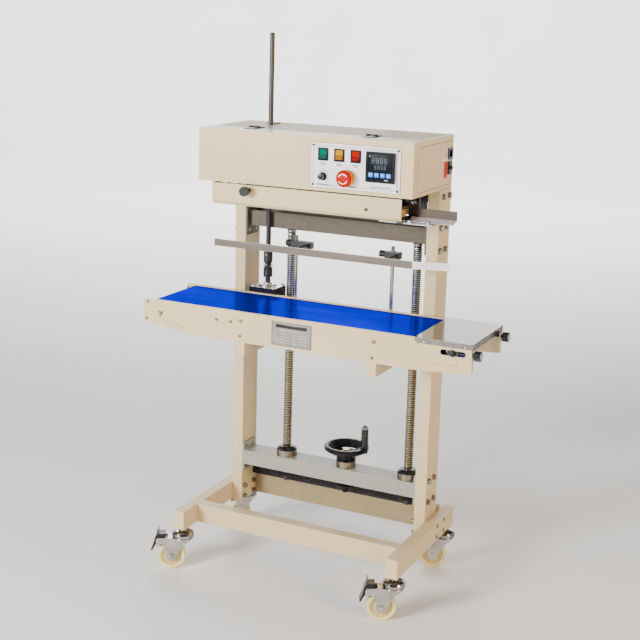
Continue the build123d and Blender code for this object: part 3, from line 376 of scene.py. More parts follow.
# the membrane keys glow a little though they hold no lamp: painted light
KEY_BLUE = plastic("key_blue", (0.03, 0.22, 0.78), 0.3, light=1.1, glow=0.08, specular=0.15)
SEGMENT = plastic("segment_grey", (0.13, 0.19, 0.22), 0.3, grain=0.00001, specular=0.2)
FITTINGS = plastic("panel_black", BLACK, 0.30, specular=0.08,
                   regions=[(both(around((115.7, 0, 1070.0), 16.0, Y_LINE), band("Y", -125.0, -111.7)),
                             (0.92, 0.46, 0.012), 0.28, 0.0)])
HANDWHEEL = plastic("handwheel_black", BLACK, 0.22, coat=0.04, grain=0.00002, specular=0.15,
                    regions=[(both(around((44.75, 97.0, 0), 25.0, Z_LINE), over("Z", 300.0)),
                              (0.60, 0.59, 0.57), 0.14, 1.0),
                             (both(around((44.75, 97.0, 0), 10.5, Z_LINE), over("Z", 305.6)),
                              BRASS, 0.22, 1.0)])
HANDLE = plastic("handle_black", BLACK, 0.26, coat=0.2,
                 regions=[(over("Z", 377.5), (0.16, 0.16, 0.17), 0.4, 0.0)])
SHAFT = brushed("shaft_black", SHAFT_GREY, 0.42, (60.0, 60.0, 6.0), 0.6,
                regions=[(band("Z", 700.0, 1035.0), (0.012, 0.012, 0.013), 0.34, 0.0)])
GEAR_CASE = plastic("gear_case", BLACK, 0.34, specular=0.08,
                    regions=[(over("Z", 736.6), (0.50, 0.47, 0.43), 0.26, 1.0)])
POSTS = brushed("post_steel", (0.48, 0.45, 0.41), 0.22, (30.0, 30.0, 8.0),
                regions=[(band("Z", 855.2, 872.7), BLACK, 0.26, 0.0),
                         (band("Z", 655.0, 716.0), BLACK, 0.3, 0.0)])
# the trim steel is painted dark so that its pan screws carry painted shade; the nameplate band is lighter
# steel
PLATE = brushed("trim_steel", (0.15, 0.135, 0.115), 0.30, (6.0, 700.0, 700.0),
                regions=[(over("X", 404.0), BLACK, 0.3, 0.0),
                         (band("X", -45.0, 65.0), (0.27, 0.24, 0.215), 0.3, 1.0),
                         (around((-367.0, -180.0, 691.0), 7.0), BRASS, 0.22, 1.0),
                         (around((-132.5, -180.0, 700.5), 7.0), BRASS, 0.22, 1.0),
                         (around((226.5, -180.0, 697.0), 7.0), BRASS, 0.22, 1.0)])
PEDAL = plastic("pedal_black", BLACK, 0.20, coat=0.1,
                regions=[(over("Z", 100.0), (0.10, 0.082, 0.06), 0.25, 1.0)])
TAN_BAND = plastic("seal_band", (0.42, 0.235, 0.10), 0.42, grain=0.00008, light=1.2)
ALLOY = brushed("alloy", (0.42, 0.42, 0.42), 0.35, (60.0, 60.0, 60.0))
BELT = belt_blue()


def knob_finish(name, x, y, z):
    """A black star knob with the bright end of its screw in the middle."""
    return plastic(name, BLACK, 0.14, coat=0.2, grain=0.00002,
                   regions=[(around((x, y, z), 6.5), (0.72, 0.70, 0.68), 0.14, 1.0)])


NODE_MATERIALS = {
    "base_rails": CREAM, "cross_rails": RAIL_PAINT, "uprights": CREAM, "cross_beams": BEAM_PAINT,
    "head_housing": HEAD_PAINT, "front_guard": GUARD_PAINT, "head_lid": LID_PAINT, "lid_hinges": BLACK_METAL,
    "frame_fasteners": ZINC, "bearing_collars": COLLAR_STEEL, "castor_cups": CHROME,
    "control_panel": PANEL_WHITE, "panel_fittings": FITTINGS, "power_inlet": BLACK_PLASTIC,
    "sealing_frame": STEEL_DARK, "seal_bands": TAN_BAND, "drive_motor": ALLOY,
    "infeed_guide": INFEED_STEEL, "conveyor_side_panels": CREAM, "conveyor_trim": PLATE,
    "conveyor_bed": STAINLESS, "conveyor_belt": BELT, "infeed_tray": TRAY_STEEL,
    "lift_arms": ARM_PAINT, "gearbox": GEAR_CASE, "guide_posts": POSTS, "guide_bar": GUIDE_STEEL,
    "drive_shaft": SHAFT, "left_roller": ROLLER, "drive_roller": ROLLER, "tail_roller": ROLLER,
    "handwheel": HANDWHEEL, "handwheel_handle": HANDLE, "rocker_green": GREEN_LENS,
    "rocker_yellow": YELLOW_LENS, "rocker_red": RED_LENS, "speed_knob": BLACK_GLOSS,
    "estop_button": ESTOP_RED, "guard_knob": BLACK_PLASTIC, "clamp_knob_left": BLACK_PLASTIC,
    "clamp_knob_right": BLACK_PLASTIC,
    "tension_knob_front": knob_finish("knob_front_black", 493.0, -172.3, 697.5),
    "tension_knob_rear": knob_finish("knob_rear_black", 493.0, 34.3, 697.5),
}
for role in ("front_drive", "front_idler", "rear_drive", "rear_idler"):
    NODE_MATERIALS[f"seal_wheel_{role}"] = TURNED
for corner in ("front_left", "front_right", "rear_left", "rear_right"):
    low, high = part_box(f"castor_wheel_{corner}")
    NODE_MATERIALS[f"castor_fork_{corner}"] = FORK_CHROME
    NODE_MATERIALS[f"castor_wheel_{corner}"] = nylon(f"nylon_{corner}", (low + high) / 2 / MM)
for corner in ("front_left", "front_right"):
    NODE_MATERIALS[f"brake_pedal_{corner}"] = PEDAL
for name, material in NODE_MATERIALS.items():
    NODES[name].data.materials.clear()
    NODES[name].data.materials.append(material)


# ------------------------------------------------------------------ mesh helpers

def finish_piece(name, bm, material, body, crease=35.0):
    """Turns bmesh geometry in millimetres into a piece that rides on a body."""
    bmesh.ops.remove_doubles(bm, verts=bm.verts, dist=0.0005)
    bmesh.ops.recalc_face_normals(bm, faces=bm.faces)
    bmesh.ops.scale(bm, vec=(MM, MM, MM), verts=bm.verts)
    mesh = bpy.data.meshes.new(name)
    bm.to_mesh(mesh)
    bm.free()
    mesh.polygons.foreach_set("use_smooth", [True] * len(mesh.polygons))
    mesh.set_sharp_from_angle(angle=math.radians(crease))
    mesh.materials.append(material)
    made = bpy.data.objects.new(name, mesh)
    bpy.context.scene.collection.objects.link(made)
    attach(made, body)
    return made


def axis_frame(origin, along, start=None):
    """A matrix whose local Z runs along a direction from an origin."""
    z = Vector(along).normalized()
    x = Vector(start or ((1, 0, 0) if abs(z.x) < 0.9 else (0, 1, 0)))
    x = (x - x.dot(z) * z).normalized()
    axes = Matrix((x, z.cross(x), z)).transposed()
    return Matrix.Translation(Vector(origin)) @ axes.to_4x4()


def lathe(bm, frame_at, profile, segments=40, closed=False):
    """Turns (radius, height) points about the frame's Z. An open profile starts and ends on the axis."""
    rings = []
    for radius, height in profile:
        if radius == 0:
            rings.append([bm.verts.new(frame_at @ Vector((0, 0, height)))] * segments)
            continue
        turns = [2 * math.pi * i / segments for i in range(segments)]
        rings.append([bm.verts.new(frame_at @ Vector((radius * math.cos(a), radius * math.sin(a), height)))
                      for a in turns])
    pairs = list(zip(rings, rings[1:]))
    if closed:
        pairs.append((rings[-1], rings[0]))
    for low, high in pairs:
        for i in range(segments):
            j = (i + 1) % segments
            corners = list(dict.fromkeys((low[i], low[j], high[j], high[i])))
            if len(corners) > 2:
                bm.faces.new(corners)


def prism(bm, frame_at, outline, z0, z1, bevel=0.0):
    """An outline in the frame's X and Y, raised from z0 to z1, with its edges softened."""
    low = [bm.verts.new(frame_at @ Vector((x, y, z0))) for x, y in outline]
    high = [bm.verts.new(frame_at @ Vector((x, y, z1))) for x, y in outline]
    count = len(outline)
    faces = [bm.faces.new(list(reversed(low))), bm.faces.new(high)]
    for i in range(count):
        j = (i + 1) % count
        faces.append(bm.faces.new((low[i], low[j], high[j], high[i])))
    if bevel:
        edges = {edge for face in faces for edge in face.edges}
        bmesh.ops.bevel(bm, geom=list(edges), offset=bevel, segments=2, profile=0.6, affect="EDGES")


def tile(bm, x, y, z, bevel=0.2):
    """A softened box between the given pairs of x, y and z."""
    outline = [(x[0], y[0]), (x[1], y[0]), (x[1], y[1]), (x[0], y[1])]
    prism(bm, Matrix.Identity(4), outline, z[0], z[1], bevel)


def rounded_outline(width, height, radius, steps=5):
    """A rectangle about the origin with rounded corners."""
    points = []
    for cx, cy, start in ((1, 1, 0), (-1, 1, 90), (-1, -1, 180), (1, -1, 270)):
        for i in range(steps + 1):
            a = math.radians(start + 90 * i / steps)
            points.append((cx * (width / 2 - radius) + radius * math.cos(a),
                           cy * (height / 2 - radius) + radius * math.sin(a)))
    return points


def ring_of(bm, frame_at, outer, inner, z0, z1):
    """A flat frame between two outlines of the same count, from z0 to z1."""
    loops = [[bm.verts.new(frame_at @ Vector((x, y, z))) for x, y in line]
             for line, z in ((outer, z0), (outer, z1), (inner, z1), (inner, z0))]
    count = len(outer)
    for first, second in zip(loops, loops[1:] + loops[:1]):
        for i in range(count):
            j = (i + 1) % count
            bm.faces.new((first[i], first[j], second[j], second[i]))


def circle_points(radius, count, phase=0.0):
    return [(radius * math.cos(phase + 2 * math.pi * i / count),
             radius * math.sin(phase + 2 * math.pi * i / count)) for i in range(count)]


def on_front(x, y, z):
    """A frame on a face that looks to the front: local X along the machine, local Y up, Z outwards."""
    return axis_frame((x, y, z), (0, -1, 0), (1, 0, 0))


# ------------------------------------------------------------------ lead screws and chain

SCREW_Y = 97.0
SCREW_XS = {"lead_screw_left": -133.5, "lead_screw_right": 223.0}
SPROCKET_Z = (210.4, 217.6)
TEETH_Z = (212.8, 215.2)
OUTER_PLATES_Z = ((211.0, 211.9), (216.1, 217.0))
INNER_PLATES_Z = ((212.0, 212.8), (215.2, 216.0))
LINK_PIN_Z = (211.2, 216.8)


def thread(bm, x, y, z0, z1, root, crest, pitch, segments=24):
    """A trapezoidal thread as one winding sheet, run out to the root at both ends."""
    shape = ((0.0, root), (0.30, root), (0.42, crest), (0.88, crest))
    turns = int((z1 - z0) / pitch) + 3
    rows = []
    for k in range(turns * 4):
        part, radius = shape[k % 4]
        row = []
        for j in range(segments + 1):
            z = z0 + pitch * (k // 4 - 1 + part + j / segments)
            run_out = min(1.0, max(0.0, (z - z0) / pitch), max(0.0, (z1 - z) / pitch))
            r = root + (radius - root) * run_out
            a = 2 * math.pi * j / segments
            row.append(bm.verts.new((x + r * math.cos(a), y + r * math.sin(a), min(z1, max(z0, z)))))
        rows.append(row)
    for low, high in zip(rows, rows[1:]):
        for j in range(segments):
            bm.faces.new((low[j], low[j + 1], high[j + 1], high[j]))
    bmesh.ops.remove_doubles(bm, verts=bm.verts, dist=0.002)
    bmesh.ops.dissolve_degenerate(bm, edges=bm.edges, dist=0.001)
    bmesh.ops.holes_fill(bm, edges=[e for e in bm.edges if e.is_boundary], sides=0)


def sprocket(bm, x, teeth=24):
    outline = []
    for i in range(teeth):
        for part, radius in ((0.0, 18.6), (0.28, 19.4), (0.42, 21.9), (0.58, 21.9), (0.72, 19.4)):
            a = 2 * math.pi * (i + part) / teeth
            outline.append((radius * math.cos(a), radius * math.sin(a)))
    prism(bm, axis_frame((x, SCREW_Y, 0), (0, 0, 1)), outline, *TEETH_Z)
    hub = [(8.0, SPROCKET_Z[0]), (13.0, SPROCKET_Z[0]), (14.0, 211.4), (14.0, 216.6), (13.0, SPROCKET_Z[1]),
           (8.0, SPROCKET_Z[1])]
    lathe(bm, axis_frame((x, SCREW_Y, 0), (0, 0, 1)), hub, 32, closed=True)


def lead_screws():
    for name, x in SCREW_XS.items():
        bm = bmesh.new()
        thread(bm, x, SCREW_Y, 292.0, 884.0, 9.6, 11.9, 5.0)
        frame_at = axis_frame((x, SCREW_Y, 0), (0, 0, 1))
        lower = [(0, 192.0), (7.0, 192.0), (7.9, 193.0), (7.9, 281.4), (11.9, 281.4), (11.9, 291.0),
                 (10.4, 292.6), (0, 292.6)]
        upper = [(0, 883.4), (10.4, 883.4), (11.9, 885.0), (11.9, 889.9), (7.9, 889.9), (7.9, 914.0),
                 (7.0, 915.0), (0, 915.0)]
        lathe(bm, frame_at, lower, 32)
        lathe(bm, frame_at, upper, 32)
        sprocket(bm, x)
        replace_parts(finish_piece(f"{name}_thread", bm, THREAD, name, 30.0), name)


def chain():
    """Roller chain round the two screws' sprockets, and behind it a black plate with screws, put as painted
    shade in the gap under the beam.
    """
    x0, x1 = SCREW_XS.values()
    reach = 24.65
    run = x1 - x0
    length = 2 * run + 2 * math.pi * reach
    links = 92
    pitch = length / links

    def point(s):
        s %= length
        if s < run:
            return Vector((x0 + s, SCREW_Y - reach, 0)), Vector((1, 0, 0))
        s -= run
        if s < math.pi * reach:
            a = -math.pi / 2 + s / reach
            return (Vector((x1 + reach * math.cos(a), SCREW_Y + reach * math.sin(a), 0)),
                    Vector((-math.sin(a), math.cos(a), 0)))
        s -= math.pi * reach
        if s < run:
            return Vector((x1 - s, SCREW_Y + reach, 0)), Vector((-1, 0, 0))
        a = math.pi / 2 + (s - run) / reach
        return (Vector((x0 + reach * math.cos(a), SCREW_Y + reach * math.sin(a), 0)),
                Vector((-math.sin(a), math.cos(a), 0)))

    bm = bmesh.new()
    for i in range(links):
        here, _ = point(i * pitch)
        there, _ = point((i + 1) * pitch)
        frame_at = axis_frame((here + there) / 2, (0, 0, 1), there - here)
        outline = []
        for side in (1, -1):
            for k in range(5):
                a = math.radians(-90 + 45 * k) + (0 if side > 0 else math.pi)
                outline.append((side * pitch / 2 + 2.2 * math.cos(a), 2.2 * math.sin(a)))
        levels = OUTER_PLATES_Z if i % 2 else INNER_PLATES_Z
        for low, high in levels:
            prism(bm, frame_at, outline, low, high)
        lathe(bm, axis_frame(here, (0, 0, 1)),
              [(0, LINK_PIN_Z[0]), (1.9, LINK_PIN_Z[0]), (1.9, LINK_PIN_Z[1]), (0, LINK_PIN_Z[1])], 10)
    made = finish_piece("roller_chain", bm, CHAIN, "frame")
    # the black plate behind the chain is painted shade, put in the dark gap under the beam
    guard = bmesh.new()
    tile(guard, (-256.5, 256.5), (130.0, 132.0), (178.0, 232.0), 0.5)
    for x in (-240.0, -80.0, 80.0, 240.0):
        lathe(guard, on_front(x, 130.0, 209.0), [(0, 0), (4.5, 0), (4.0, 1.4), (2.5, 2.0), (0, 2.2)], 20)
    plate = finish_piece("chain_shade_plate", guard, BLACK_METAL, "frame")
    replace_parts(made, "chain_and_guard")
    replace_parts(plate, "chain_and_guard")


# ------------------------------------------------------------------ control panel

PANEL_FACE = -111.5
PANEL_X = (18.6, 251.3)
PANEL_Z = (1042.0, 1149.5)
ROCKERS = (51.0, 93.5, 136.5)
DIAL = (51.0, 1069.0)
ESTOP = (115.7, 1070.0)
CONTROLLER = (202.0, 1102.0)
SEGMENTS = ((0, 1, "h"), (0, 0, "h"), (0, -1, "h"),
            (-1, 0.5, "v"), (1, 0.5, "v"), (-1, -0.5, "v"), (1, -0.5, "v"))


def panel_border():
    """The thin printed line inside the panel's edge, and the short printed lines under the controls."""
    cx, cz = sum(PANEL_X) / 2, sum(PANEL_Z) / 2
    width, height = PANEL_X[1] - PANEL_X[0], PANEL_Z[1] - PANEL_Z[0]
    frame_at = on_front(cx, PANEL_FACE, cz)
    bm = bmesh.new()
    for inset, wide in ((5.5, 0.9), (8.0, 0.5)):
        outer = rounded_outline(width - 2 * inset, height - 2 * inset, 3.0)
        inner = rounded_outline(width - 2 * (inset + wide), height - 2 * (inset + wide), 3.0 - wide)
        ring_of(bm, frame_at, outer, inner, -0.1, 0.12)
    for i in range(11):
        a = math.radians(225 - 27 * i)
        tick = axis_frame((DIAL[0], PANEL_FACE, DIAL[1]), (0, -1, 0), (math.cos(a), 0, math.sin(a)))
        reach = 19.5 if i % 5 == 0 else 17.0
        prism(bm, tick, [(12.0, -0.7), (reach, -0.7), (reach, 0.7), (12.0, 0.7)], -0.1, 0.15)
    finish_piece("panel_red_print", bm, RED_INK, "frame")
    bm = bmesh.new()
    for x in ROCKERS:
        for z, half in ((1101.2, 7.5), (1097.6, 6.0)):
            prism(bm, on_front(x, PANEL_FACE, z), rounded_outline(2 * half, 2.0, 0.5, 2), -0.1, 0.12)
    for x, z, half in ((51.0, 1049.8, 15.0), (131.0, 1049.8, 12.0), (202.0, 1053.5, 26.0)):
        prism(bm, on_front(x, PANEL_FACE, z), rounded_outline(2 * half, 2.2, 0.6, 2), -0.1, 0.12)
    finish_piece("panel_blue_print", bm, BLUE_INK, "frame")


def panel_edge_shade():
    """A black ring round the panel's edge: painted shade in the gap there."""
    cx, cz = sum(PANEL_X) / 2, sum(PANEL_Z) / 2
    width, height = PANEL_X[1] - PANEL_X[0], PANEL_Z[1] - PANEL_Z[0]
    # black ring: painted shade in the shadow gap round the panel
    bm = bmesh.new()
    outer = rounded_outline(width + 1.6, height + 1.6, 1.5)
    inner = rounded_outline(width, height, 0.7)
    ring_of(bm, on_front(cx, PANEL_FACE + 1.5, cz), outer, inner, -0.1, 0.9)
    finish_piece("panel_edge_shade", bm, BLACK_METAL, "frame")


def socket_screw(bm, frame_at, radius, height):
    """A round head with a hexagon socket."""
    rim = circle_points(radius, 24)
    top = circle_points(radius * 0.9, 24)
    hexagon_points = circle_points(radius * 0.5, 24)
    loops = []
    for line, z in ((rim, 0.0), (rim, height * 0.75), (top, height), (hexagon_points, height),
                    (hexagon_points, height * 0.4)):
        loops.append([bm.verts.new(frame_at @ Vector((x, y, z))) for x, y in line])
    for first, second in zip(loops, loops[1:]):
        for i in range(24):
            j = (i + 1) % 24
            bm.faces.new((first[i], first[j], second[j], second[i]))
    bm.faces.new(loops[-1])
    bm.faces.new(list(reversed(loops[0])))


def panel_screws():
    bm = bmesh.new()
    for x in (PANEL_X[0] + 6.0, PANEL_X[1] - 6.0):
        for z in (PANEL_Z[0] + 6.0, PANEL_Z[1] - 6.0):
            socket_screw(bm, on_front(x, PANEL_FACE, z), 2.9, 1.8)
    finish_piece("panel_screws", bm, BLACK_METAL, "frame")


def controller_face():
    cx, cz = CONTROLLER
    face = PANEL_FACE - 7.5
    bm = bmesh.new()
    prism(bm, on_front(cx, face, cz), rounded_outline(61.0, 61.0, 1.5), -0.1, 0.5, 0.15)
    finish_piece("controller_window", bm, WINDOW, "frame")
    bm = bmesh.new()
    lines = ((cz + 15.5, 6.4, 12.5, 10.6, cx - 1.5, 0.8), (cz + 0.0, 4.6, 9.0, 8.2, cx + 1.0, 0.65))
    for z, width, height, pitch, middle, thick in lines:
        for digit in range(4):
            x = middle + (digit - 1.5) * pitch
            for sx, sz, way in SEGMENTS:
                long = (width if way == "h" else height / 2) - thick * 1.1
                size = (long, thick) if way == "h" else (thick, long)
                place = on_front(x + sx * (width - thick) / 2, face - 0.5, z + sz * (height - thick) / 2)
                prism(bm, place, rounded_outline(*size, thick * 0.4, 2), -0.05, 0.12)
    finish_piece("controller_digits", bm, SEGMENT, "frame")
    bm = bmesh.new()
    for dx in (-22.8, -7.6, 7.6, 22.8):
        place = on_front(cx + dx, face - 0.5, cz - 18.5)
        prism(bm, place, rounded_outline(11.5, 10.5, 1.6), -0.05, 0.45, 0.15)
    finish_piece("controller_keys", bm, KEY_BLUE, "frame")
    bm = bmesh.new()
    for dx in (-22.8, -7.6, 7.6, 22.8):
        place = on_front(cx + dx, face - 0.95, cz - 18.5)
        prism(bm, place, rounded_outline(5.0, 1.0, 0.4, 2), -0.05, 0.1)
        if dx > 0:
            prism(bm, place, rounded_outline(1.0, 5.0, 0.4, 2), -0.05, 0.1)
    for dx, dz in ((-26.5, 25.0), (17.0, -29.0)):
        mark = rounded_outline(3.0 + max(0, dx) * 0.4, 1.6, 0.6, 2)
        prism(bm, on_front(cx + dx, face - 0.5, cz + dz), mark, -0.05, 0.1)
    finish_piece("controller_marks", bm, WHITE_INK, "frame")


def arc_band(bm, frame_at, start, end, lines, steps=14):
    """A curved strip between two angles; lines are (radius, height) across it, on top then underneath."""
    rows = []
    for i in range(steps + 1):
        a = math.radians(start + (end - start) * i / steps)
        rows.append([bm.verts.new(frame_at @ Vector((r * math.cos(a), r * math.sin(a), h)))
                     for r, h in lines])
    count = len(lines)
    for first, second in zip(rows, rows[1:]):
        for i in range(count):
            j = (i + 1) % count
            bm.faces.new((first[i], first[j], second[j], second[i]))
    bm.faces.new(list(reversed(rows[0])))
    bm.faces.new(rows[-1])


def estop_marks():
    """The two curved arrows that show how the button twists."""
    frame_at = on_front(ESTOP[0], PANEL_FACE, ESTOP[1])
    bm = bmesh.new()

    def strip(inner, outer):
        return [(outer, 27.62 - outer / 13), (inner, 27.62 - inner / 13),
                (inner, 27.2 - inner / 13), (outer, 27.2 - outer / 13)]

    for start in (30.0, 210.0):
        arc_band(bm, frame_at, start, start + 108, strip(10.3, 12.7))
        for step in range(4):
            grow = 1.9 * (1 - step / 4)
            at = start + 108 + 7 * step
            arc_band(bm, frame_at, at, at + 7, strip(11.5 - grow, min(12.9, 11.5 + grow)), 3)
    finish_piece("estop_arrows", bm, WHITE_INK, "estop_button")
    bm = bmesh.new()
    ring = [(15.2, 0.2), (19.2, 0.2), (19.6, 1.0), (19.2, 5.4), (18.2, 6.3), (15.2, 6.3)]
    lathe(bm, frame_at, ring, 48, closed=True)
    finish_piece("estop_ring", bm, YELLOW, "frame")


def dial_mark():
    bm = bmesh.new()
    place = on_front(DIAL[0], PANEL_FACE - 15.8, DIAL[1] + 2.8)
    prism(bm, place, rounded_outline(1.1, 4.6, 0.4, 2), -0.6, 0.1)
    finish_piece("speed_pointer", bm, WHITE_INK, "speed_knob")
    bm = bmesh.new()
    skirt = [(0, 0.3), (10.5, 0.3), (10.5, 1.0), (9.6, 1.8), (0, 1.8)]
    lathe(bm, on_front(DIAL[0], PANEL_FACE, DIAL[1]), skirt, 36)
    finish_piece("speed_washer", bm, BLACK_METAL, "frame")


# ------------------------------------------------------------------ head details

HEAD_END = 284.0


def end_labels():
    """Two blank stickers beside the mains inlet and the breaker."""
    for name, (y, z), size, material, slot in (
            ("label_blank", (98.5, 1117.0), (31.0, 28.0), WHITE_INK, "panel_white"),
            ("strip_blank", (104.0, 1080.5), (24.0, 41.0), RED_INK, "red_plastic")):
        bm = bmesh.new()
        frame_at = axis_frame((HEAD_END, y, z), (1, 0, 0), (0, 1, 0))
        prism(bm, frame_at, rounded_outline(*size, 2.0), -0.1, 0.35, 0.1)
        finish_piece(name, bm, material, "frame")
    bm = bmesh.new()
    frame_at = axis_frame((HEAD_END + 0.3, 98.5, 1117.0), (1, 0, 0), (0, 1, 0))
    prism(bm, frame_at, circle_points(8.5, 32), 0.0, 0.25)
    finish_piece("label_spot", bm, YELLOW, "frame")


def infeed_bearing():
    """The small bearing block and pressure wheel that show under the right end of the head, and a black
    plate the full width behind the guard, put as painted shade under the head.
    """
    bm = bmesh.new()
    tile(bm, (236.0, 264.0), (-70.0, -30.0), (1008.0, 1032.9), 1.0)
    tile(bm, (252.0, 262.0), (-92.0, 60.0), (1022.0, 1032.9), 0.8)
    # black plate across the whole width behind the guard: painted shade under the head
    tile(bm, (-256.2, 256.2), (63.5, 66.0), (985.0, 1032.9), 0.6)
    tile(bm, (225.0, 256.2), (-101.5, -54.0), (978.0, 984.4), 0.4)
    finish_piece("infeed_block_and_shade_plate", bm, BLACK_METAL, "frame")
    bm = bmesh.new()
    for y, z, r in ((-58.0, 1019.0, 9.0), (-38.0, 1017.0, 7.0)):
        shape = [(0, -1.0), (r, -1.0), (r, 5.0), (r * 0.9, 6.5), (r * 0.6, 6.5), (r * 0.55, 5.0),
                 (r * 0.35, 5.0), (r * 0.3, 9.0), (0, 9.5)]
        lathe(bm, axis_frame((264.0, y, z), (1, 0, 0)), shape, 32)
    finish_piece("infeed_bearings", bm, CHROME, "frame")


def guard_inner_shade():
    """A black sheet along the inside of the front guard, seen at its open right end: painted shade inside
    the guard.
    """
    bm = bmesh.new()
    section = [(-108.5, 1030.5), (-108.5, 984.7), (-102.4, 977.6), (-90.2, 977.6), (-90.2, 979.4),
               (-101.6, 979.4), (-106.7, 985.4), (-106.7, 1030.5)]
    prism(bm, axis_frame((0, 0, 0), (1, 0, 0), (0, 1, 0)), section, -256.4, 256.6)
    finish_piece("guard_inner_shade", bm, BLACK_PLASTIC, "frame")


def hinge_screws():
    bm = bmesh.new()
    moving = bmesh.new()
    for x in (-175.0, 146.5):
        for dx in (-9.0, 9.0):
            socket_screw(bm, axis_frame((x + dx, -60.0, 1167.0), (0, 0, 1)), 2.2, 0.5)
            socket_screw(moving, axis_frame((x + dx, -24.0, 1167.0), (0, 0, 1)), 2.2, 0.5)
    finish_piece("hinge_screws_fixed", bm, BLACK_METAL, "frame")
    finish_piece("hinge_screws_lid", moving, BLACK_METAL, "lid")


def rear_screws():
    """Pan-head screws along the edges of the head's back sheet."""
    bm = bmesh.new()
    pan = [(0, 0), (4.2, 0), (4.2, 0.9), (3.6, 1.8), (2.4, 2.3), (1.6, 2.3), (1.2, 1.2), (0, 1.2)]
    for x in (-284.0, -95.0, 86.0, 270.0):
        for z in (1045.0, 1150.0):
            lathe(bm, axis_frame((x, 156.0, z), (0, 1, 0)), pan, 20)
    finish_piece("rear_screws", bm, ZINC, "frame")


def shaft_details():
    """The cross pins of the universal joint, and two small round caps on its front, below and above them."""
    bm = bmesh.new()
    for z, along in ((790.0, (1, 0, 0)), (796.0, (0, 1, 0))):
        shape = [(0, -12.6), (2.6, -12.6), (3.2, -12.0), (3.2, 12.0), (2.6, 12.6), (0, 12.6)]
        lathe(bm, axis_frame((-190.0, 72.0, z), along), shape, 20)
    for z in (770.0, 822.0):
        cap = [(0, 11.0), (2.4, 11.0), (2.4, 12.4), (0, 12.6)]
        lathe(bm, axis_frame((-190.0, 72.0, z), (0, -1, 0)), cap, 16)
    finish_piece("universal_joint_pins", bm, ZINC, "drive_shaft")


# ------------------------------------------------------------------ conveyor details

SIDE_FACE = -178.0
NAMEPLATE = ((-44.5, 64.5), (652.5, 713.0))
CAP_NUTS = ((-367.0, 691.0), (-132.5, 700.5), (226.5, 697.0))
TENSION = (425.0, 697.5)


def nameplate_lines():
    """Raised rules and blank fields, with no lettering."""
    (x0, x1), (z0, z1) = NAMEPLATE
    face = SIDE_FACE - 1.0
    cx = (x0 + x1) / 2
    frame_at = on_front(cx, face, (z0 + z1) / 2)
    bm = bmesh.new()
    outer = rounded_outline(x1 - x0 - 3.0, z1 - z0 - 3.0, 2.0)
    inner = rounded_outline(x1 - x0 - 4.4, z1 - z0 - 4.4, 1.4)
    ring_of(bm, frame_at, outer, inner, -0.1, 0.25)
    tile(bm, (x0 + 12, x1 - 12), (face - 0.3, face), (z1 - 15.0, z1 - 6.5), 0.1)
    finish_piece("nameplate_band", bm, BLACK_METAL, "carriage")
    bm = bmesh.new()
    tile(bm, (x0 + 20, x1 - 20), (face - 0.25, face), (z1 - 22.5, z1 - 20.0), 0.05)
    for row in range(4):
        z = z0 + 8.0 + 7.2 * row
        for start, end in ((x0 + 8, x0 + 20), (x0 + 24, cx - 4), (cx + 2, cx + 14), (cx + 18, x1 - 9)):
            tile(bm, (start, end), (face - 0.22, face), (z, z + 1.7), 0.05)
    finish_piece("nameplate_fields", bm, FIELD_INK, "carriage")


def side_details():
    bm = bmesh.new()
    for x, z in CAP_NUTS:
        dome = [(0, 4.3), (4.4, 4.3), (4.3, 5.6), (3.6, 7.2), (2.2, 8.3), (0, 8.7)]
        lathe(bm, on_front(x, SIDE_FACE, z), dome, 24)
    brass = polished("brass_cap", (0.62, 0.50, 0.27), 0.16)
    finish_piece("cap_nut_domes", bm, brass, "carriage")
    bm = bmesh.new()
    washer = [(0, 0.2), (8.6, 0.2), (8.6, 1.6), (0, 1.6)]
    place = on_front(TENSION[0], SIDE_FACE, TENSION[1])
    lathe(bm, place, washer, 28)
    prism(bm, place, circle_points(6.4, 6, 0.4), 1.6, 6.4, 0.4)
    finish_piece("tension_bolt", bm, BLACK_METAL, "tail_roller")
    bm = bmesh.new()
    for x in (355.5, 455.0):
        for y, way in ((-180.7, (0, -1, 0)), (42.7, (0, 1, 0))):
            dome = [(0, 0), (2.6, 0), (2.3, 0.7), (1.4, 1.2), (0, 1.4)]
            lathe(bm, axis_frame((x, y, 716.0), way), dome, 20)
    finish_piece("tray_rivets", bm, RIVET_STEEL, "carriage")
    bm = bmesh.new()
    # a black patch round the cap nut: painted shade of the recess there
    recess = [(-8.5, 5.0), (8.5, 5.0), (1.5, -7.0), (-1.5, -7.0)]
    prism(bm, on_front(-367.0, SIDE_FACE, 689.0), recess, -0.2, 0.25)
    finish_piece("cap_nut_recess_shade", bm, BLACK_METAL, "carriage")


# ------------------------------------------------------------------ castors

def castor_details():
    """A rounded raceway under each cup, and a dome on each end of the axle."""
    for corner in ("front_left", "front_right", "rear_left", "rear_right"):
        low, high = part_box(f"castor_wheel_{corner}")
        wheel = (low + high) / 2 / MM
        side = -1 if "left" in corner else 1
        swivel = Vector((side * 301.5, -168.0 if "front" in corner else 182.0, 0.0))
        trail = Vector((wheel.x - swivel.x, wheel.y - swivel.y, 0)).normalized()
        axle = trail.cross(Vector((0, 0, 1)))
        bm = bmesh.new()
        circle = [(24.5 + 2.9 * math.cos(math.radians(a)), 92.4 + 2.2 * math.sin(math.radians(a)) - 4.4)
                  for a in range(0, 360, 30)]
        lathe(bm, axis_frame(swivel, (0, 0, 1)), circle, 48, closed=True)
        for way in (-1, 1):
            shape = [(0, 22.4), (3.4, 22.4), (3.2, 24.6), (2.2, 25.6), (0, 26.0)]
            lathe(bm, axis_frame(wheel, way * axle), shape, 20)
        finish_piece(f"castor_trim_{corner}", bm, CHROME, f"castor_fork_{corner}")


